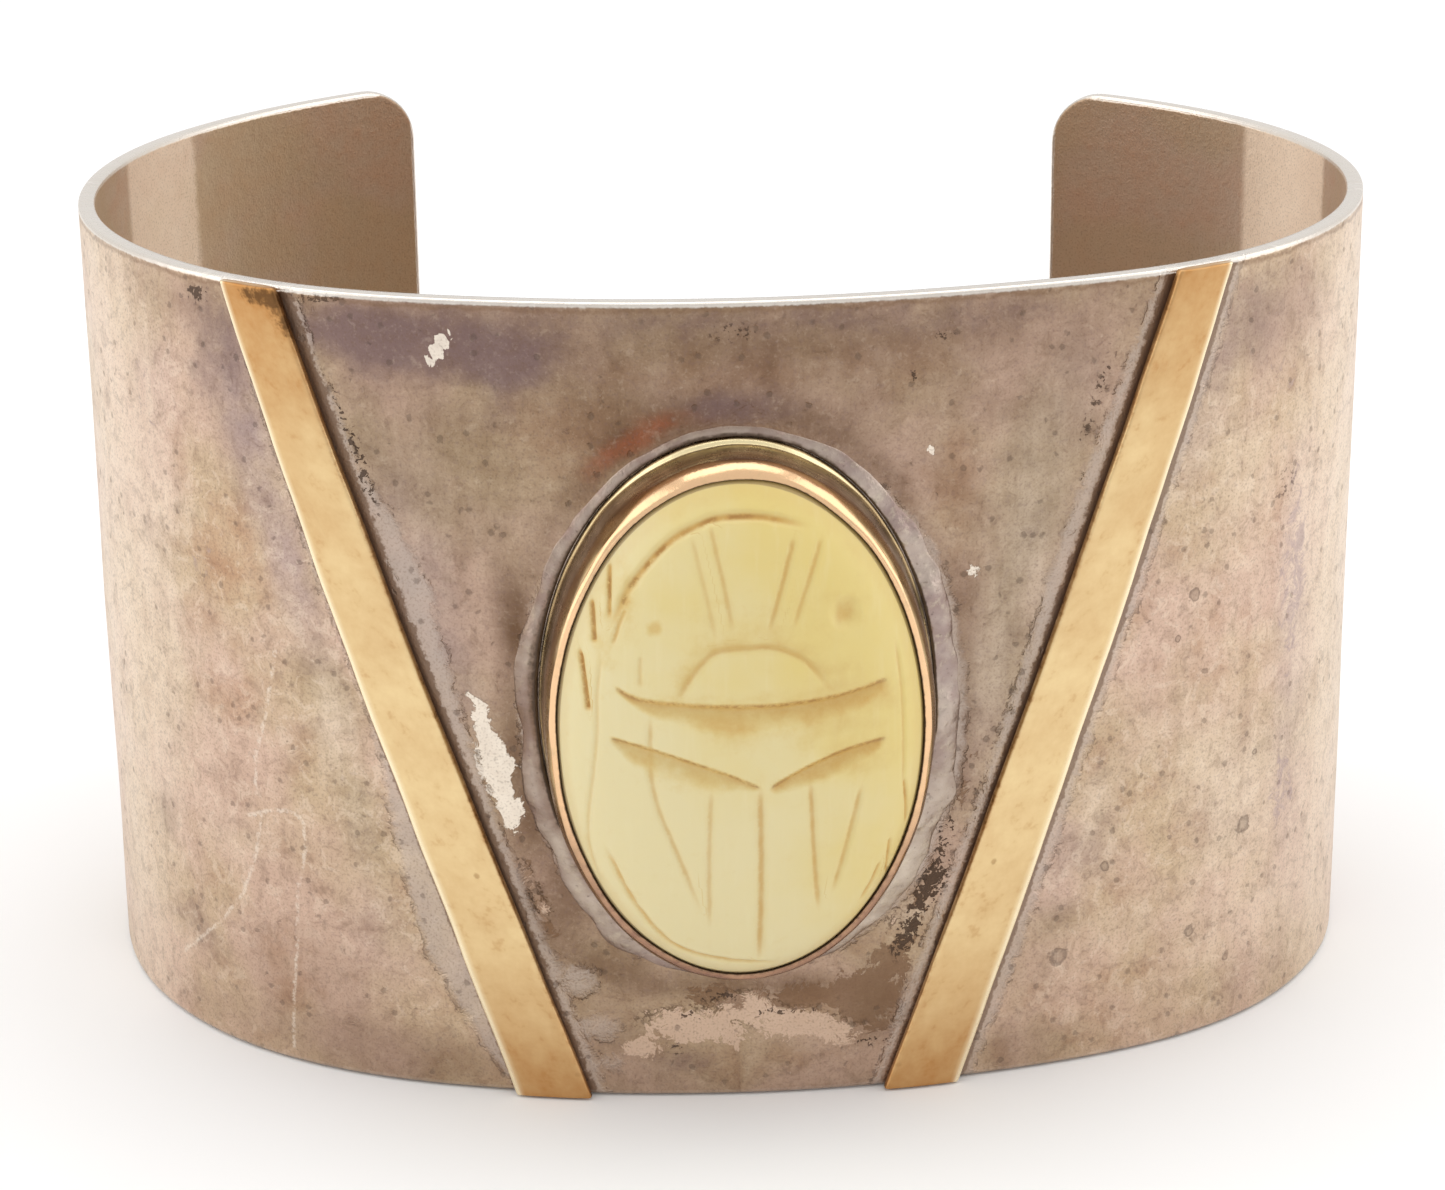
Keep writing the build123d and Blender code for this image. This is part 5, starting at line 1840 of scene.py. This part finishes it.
@dataclass
class Studio:
    """Plain pale table and surroundings, soft lights and the camera."""

    eye: tuple[float, float, float] = (-8.988, -180.382, 84.902)
    yaw: float = 2.743
    pitch: float = 20.346
    roll: float = -0.686
    lens: float = 96.62
    world_light: float = 0.86
    table_reach: float = 3.0
    table_drop: float = 0.0001
    boxes: tuple[SoftBox, ...] = (
        SoftBox("light_left", (-0.42, -0.08, 0.22), (0.4, 0.5), 0.6),
        SoftBox("light_right", (0.42, -0.06, 0.24), (0.4, 0.5), 0.6),
        SoftBox("light_above", (0.0, 0.1, 0.5), (0.5, 0.4), 0.8))

    def table(self) -> None:
        """A pale table top a tenth of a millimetre under the rim."""
        shell = bpy.data.meshes.new("table_top")
        corners = ((-1, -1), (1, -1), (1, 1), (-1, 1))
        spots = [(x * self.table_reach, y * self.table_reach, -self.table_drop) for x, y in corners]
        shell.from_pydata(spots, [], [(0, 1, 2, 3)])
        top = bpy.data.objects.new("table_top", shell)
        bpy.context.scene.collection.objects.link(top)
        p = Paint("pale_table", (243, 243, 243))
        soft = p.noise(p.node("ShaderNodeTexCoord", {}, {}, "Object"), 30.0, 2.0, 0.55)
        p.lay((248, 248, 248), soft)
        shell.materials.append(p.finish(Roughness=0.85))

    def surroundings(self) -> None:
        """Even pale light from all round."""
        world = bpy.data.worlds.new("pale_room")
        world.use_nodes = True
        sky = world.node_tree.nodes["Background"]
        sky.inputs["Color"].default_value = (1.0, 1.0, 1.0, 1.0)
        sky.inputs["Strength"].default_value = self.world_light
        bpy.context.scene.world = world
        bpy.context.scene.view_settings.view_transform = "Standard"

    def camera(self) -> None:
        """Put the camera at the photograph's place, turned by yaw, pitch and roll."""
        yaw, pitch, roll = (math.radians(v) for v in (self.yaw, self.pitch, self.roll))
        ahead = Vector((math.sin(yaw) * math.cos(pitch), math.cos(yaw) * math.cos(pitch), -math.sin(pitch)))
        right = Vector((math.cos(yaw), -math.sin(yaw), 0.0))
        up = right.cross(ahead)
        side = right * math.cos(roll) + up * math.sin(roll)
        top = up * math.cos(roll) - right * math.sin(roll)
        lens = bpy.data.cameras.new("camera")
        lens.lens, lens.sensor_width, lens.sensor_fit = self.lens, 36.0, "HORIZONTAL"
        lens.clip_start, lens.clip_end = 0.005, 20.0
        made = bpy.data.objects.new("camera", lens)
        turned = Matrix((side, top, -ahead)).transposed().to_4x4()
        made.matrix_world = Matrix.Translation(Vector(self.eye) * MM) @ turned
        bpy.context.scene.collection.objects.link(made)
        bpy.context.scene.camera = made

    def build(self) -> None:
        """Set up table, light and camera."""
        self.table()
        self.surroundings()
        for box in self.boxes:
            box.hang()
        self.camera()


def main() -> None:
    """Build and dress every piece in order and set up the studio."""
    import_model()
    bend, line = Bend(), BarLine()
    oval = Oval(bend)
    band = CuffBand(bend, line, oval)
    band.dress(band.build())
    collar = SolderCollar(oval)
    collar.dress(collar.build())
    gold = BarGold().make()
    for side in Side:
        bar = GoldBar(bend, line, side)
        bar.dress(bar.build(), gold)
    setting = Setting(oval)
    setting.dress(setting.build())
    stone = ScarabStone(oval)
    stone.dress(stone.build())
    Studio().build()
    bpy.context.view_layer.update()


if __name__ == "__main__":
    logging.basicConfig(level=logging.INFO, format="%(name)s %(message)s")
    main()
